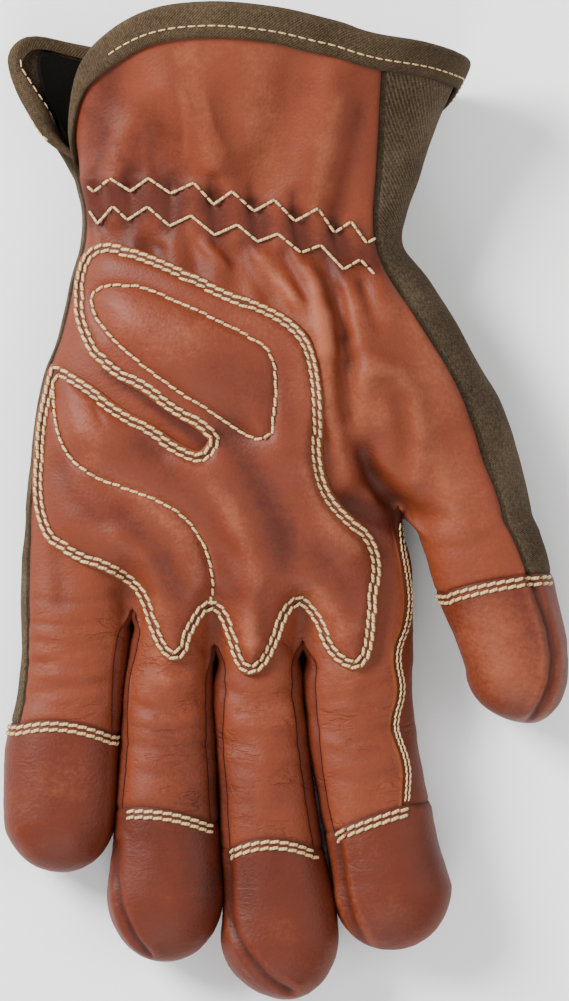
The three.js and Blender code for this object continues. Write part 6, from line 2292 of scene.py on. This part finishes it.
@dataclass
class Glove:
    """The dressed glove: every panel, trim and stitch row."""

    form: GloveForm = field(default_factory=GloveForm)
    builder: SkinBuilder = field(default_factory=SkinBuilder)
    finishes: dict[str, bpy.types.Material] = field(default_factory=dict)

    def make_finishes(self) -> None:
        """Builds the materials."""
        self.finishes = {
            "palm": Leather("palm_hide").build(),
            "side": Leather("side_hide", deep=(0.042, 0.0058, 0.0018), body=(0.092, 0.0145, 0.0040),
                            pale=(0.165, 0.036, 0.0125)).build(),
            "tip": Leather("tip_hide", deep=(0.034, 0.0044, 0.0012), body=(0.082, 0.0122, 0.0033),
                           pale=(0.190, 0.046, 0.0185), gloss=0.54, creased=0.25).build(),
            "patch": Leather("patch_hide", deep=(0.050, 0.0076, 0.0027), body=(0.124, 0.0224, 0.0078),
                             pale=(0.248, 0.068, 0.032), raw=(0.17, 0.042, 0.012),
                             gloss=0.54, creased=0.4).build(),
            "cloth": Twill("back_twill").build(),
            "tape": Twill("binding_tape", rib=0.0008, slant=-1.0, body=(0.056, 0.0370, 0.0205),
                          pale=(0.115, 0.0795, 0.0465)).build(),
            "thread": Thread("cream_thread").build(),
            "nap": Nap("sleeve_nap").build(),
        }

    def add(self, name: str, mesh: Mesh, finish: str, nodes: tuple[str, ...] = (), slot: str = "",
            sharp: float = 60.0) -> bpy.types.Object:
        """Makes a piece, sets it on the frame and reports it.

        Args:
            name: name of the piece.
            mesh: its mesh.
            finish: key of its material.
            nodes: CAD nodes that it stands for.
            slot: not used.
            sharp: angle in degrees past which an edge is shaded sharp.

        Returns:
            The new piece.
        """
        piece = make_object(name, mesh, self.finishes[finish], sharp)
        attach(piece, "root")
        if nodes:
            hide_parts(*nodes)
        triangles = sum(len(face) - 2 for face in mesh.faces)
        log.info("%s: %d points, %d triangles", name, len(mesh.points), triangles)
        return piece

    def cap_rows(self, surface: Surface) -> Stitches:
        """Returns the two rows round the top of each fingertip cap.

        Args:
            surface: the skin that they are sewn into.

        Returns:
            The stitches.
        """
        stitches = Stitches()
        for name, digit in DIGITS.items():
            start = smooth_path(self.builder.cap_start(name), 1.0, closed=True)
            for drop in (1.0, 2.6):
                ring = self.form.carried(name, start, start[:, 1] - drop)
                ends = smooth_path(ring, stitches.pitch, closed=True)
                nexts = np.roll(ends, -1, axis=0)
                centre, normal = surface.nearest((ends + nexts) / 2)
                way = unit(nexts - ends)
                way = way + 0.18 * np.cross(normal, way)
                low, high_x = CAP_ROW_SPAN[name]
                use = (centre[:, 2] > digit.mid - 4) & (centre[:, 0] > low) & (centre[:, 0] < high_x)
                stitches.lay((centre + 0.2 * normal)[use], way[use], normal[use])
        return stitches

    def index_rows(self, surface: Surface) -> Stitches:
        """Returns the two rows beside the seam of the index finger's side piece.

        Args:
            surface: the skin that they are sewn into.

        Returns:
            The stitches.
        """
        seam = smooth_path(INDEX_EDGE, 1.0)
        seam = seam[(seam[:, 1] > -78.5) & (seam[:, 1] < -5)]
        stitches = Stitches(length=2.1, pitch=1.85, radius=0.26)
        for offset in (0.75, 1.6):
            stitches.on_palm(surface, seam + np.array([offset, 0]), jog=-0.15)
        return stitches

    def build(self) -> None:
        """Builds all pieces in order: panels, patch, binding and sleeve, then stitches."""
        self.make_finishes()
        skin, rim = self.builder.build()
        q = self.builder.stations()[:-1]
        ring = np.concatenate([rim["PALM"], rim["BACK"][1:-1]])
        trim = CuffTrim(self.form, q, skin.normals[skin.inverse[ring]])
        add_folds(skin)
        for spec in PANELS:
            mesh = wall_mesh(skin, spec.panels, spec.thickness,
                             sink=spec.sink, lift=spec.lift, reach=spec.reach)
            self.add(spec.name, mesh, spec.finish, (spec.node,), spec.slot)
        surface = Surface(skin.points, skin.quads)
        patch = PalmPatch(self.form)
        mesh, top = patch.mesh()
        self.add("quilted_patch", mesh, "patch", ("palm_patch",), "patch_leather")
        self.add("rim_binding", trim.binding(), "tape", ("cuff_binding",), "binding_cloth", 50.0)
        sleeve = wall_mesh(trim.sleeve(), (Panel.SLEEVE,), SLEEVE_WALL, start=SLEEVE_DEPTH, sink=0.0)
        self.add("inner_sleeve", sleeve, "nap", ("cuff_lining",), "lining_cloth")
        self.sew(surface, top, patch, trim)

    def sew(self, surface: Surface, top: Surface, patch: PalmPatch, trim: CuffTrim) -> None:
        """Adds every stitch row.

        Args:
            surface: the skin.
            top: the top of the patch.
            patch: the patch.
            trim: the cuff's trim.
        """
        stitch, _ = patch.outlines()
        border = Stitches()
        border.on_palm(top, stitch, closed=True, jog=0.19)
        border.on_palm(top, ring_inside(stitch, patch.row_gap, 0.04 * patch.row_gap), closed=True, jog=0.19)
        quilting = Stitches(length=2.75, pitch=2.35, radius=0.39)
        quilting.on_palm(top, QUILT_UPPER, jog=0.12)
        quilting.on_palm(top, QUILT_LOWER, jog=0.12)
        wrist = Stitches(length=2.6, pitch=2.2, radius=0.38)
        for row in (ZIGZAG_UPPER, ZIGZAG_LOWER):
            ends = even_path(row, wrist.pitch)
            wrist.between(surface, ends[:-1], ends[1:], taut=True)
        rim_row = Stitches(length=2.1, pitch=2.6, radius=0.23)
        trim.stitch_rows(rim_row)
        rows = {"patch_stitches": border, "quilting_stitches": quilting, "wrist_stitches": wrist,
                "tip_stitches": self.cap_rows(surface), "index_stitches": self.index_rows(surface),
                "binding_stitches": rim_row}
        for name, stitches in rows.items():
            self.add(name, stitches.mesh(), "thread")


@dataclass
class Studio:
    """Pale floor, soft lights and the camera straight above the palm."""

    height: float = 1.8
    view_height: float = 0.26026
    sensor: float = 36.0

    def floor(self) -> None:
        """Adds the floor: one flat sheet under the glove."""
        data = bpy.data.meshes.new("floor")
        data.from_pydata([(-4, -4, 0), (4, -4, 0), (4, 4, 0), (-4, 4, 0)], [], [(0, 1, 2, 3)])
        data.materials.append(Paper("pale_floor").build())
        add_object("floor", data)

    def light(self, name: str, place: tuple[float, float, float], size: float, power: float) -> None:
        """Adds a square area light that faces the glove.

        Args:
            name: name of the light.
            place: where it stands.
            size: length of its side.
            power: power in watts.
        """
        data = bpy.data.lights.new(name, "AREA")
        data.shape = "SQUARE"
        data.size = size
        data.energy = power
        lamp = add_object(name, data)
        lamp.location = place
        lamp.rotation_euler = (-Vector(place)).to_track_quat("-Z", "Y").to_euler()

    def build(self) -> None:
        """Adds the floor, lights, world and camera."""
        self.floor()
        self.light("key", (-0.95, 0.60, 0.85), 0.55, 50.0)
        self.light("fill", (0.9, 0.1, 1.0), 1.0, 11.0)
        self.light("low", (-0.1, -1.0, 0.8), 0.7, 11.0)
        world = bpy.data.worlds.new("studio")
        world.use_nodes = True
        world.node_tree.nodes["Background"].inputs[0].default_value = (1, 1, 1, 1)
        world.node_tree.nodes["Background"].inputs[1].default_value = 0.5
        bpy.context.scene.world = world
        data = bpy.data.cameras.new("camera")
        data.sensor_fit = "VERTICAL"
        data.sensor_height = self.sensor
        data.lens = self.sensor * (self.height - 0.013) / self.view_height
        data.clip_start = 0.05
        camera = add_object("camera", data)
        camera.location = (-CENTRE[0] * 1e-3, -CENTRE[1] * 1e-3, self.height)
        bpy.context.scene.camera = camera


def main() -> None:
    """Builds the dressed glove and its studio."""
    Glove().build()
    Studio().build()


if __name__ == "__main__":
    main()
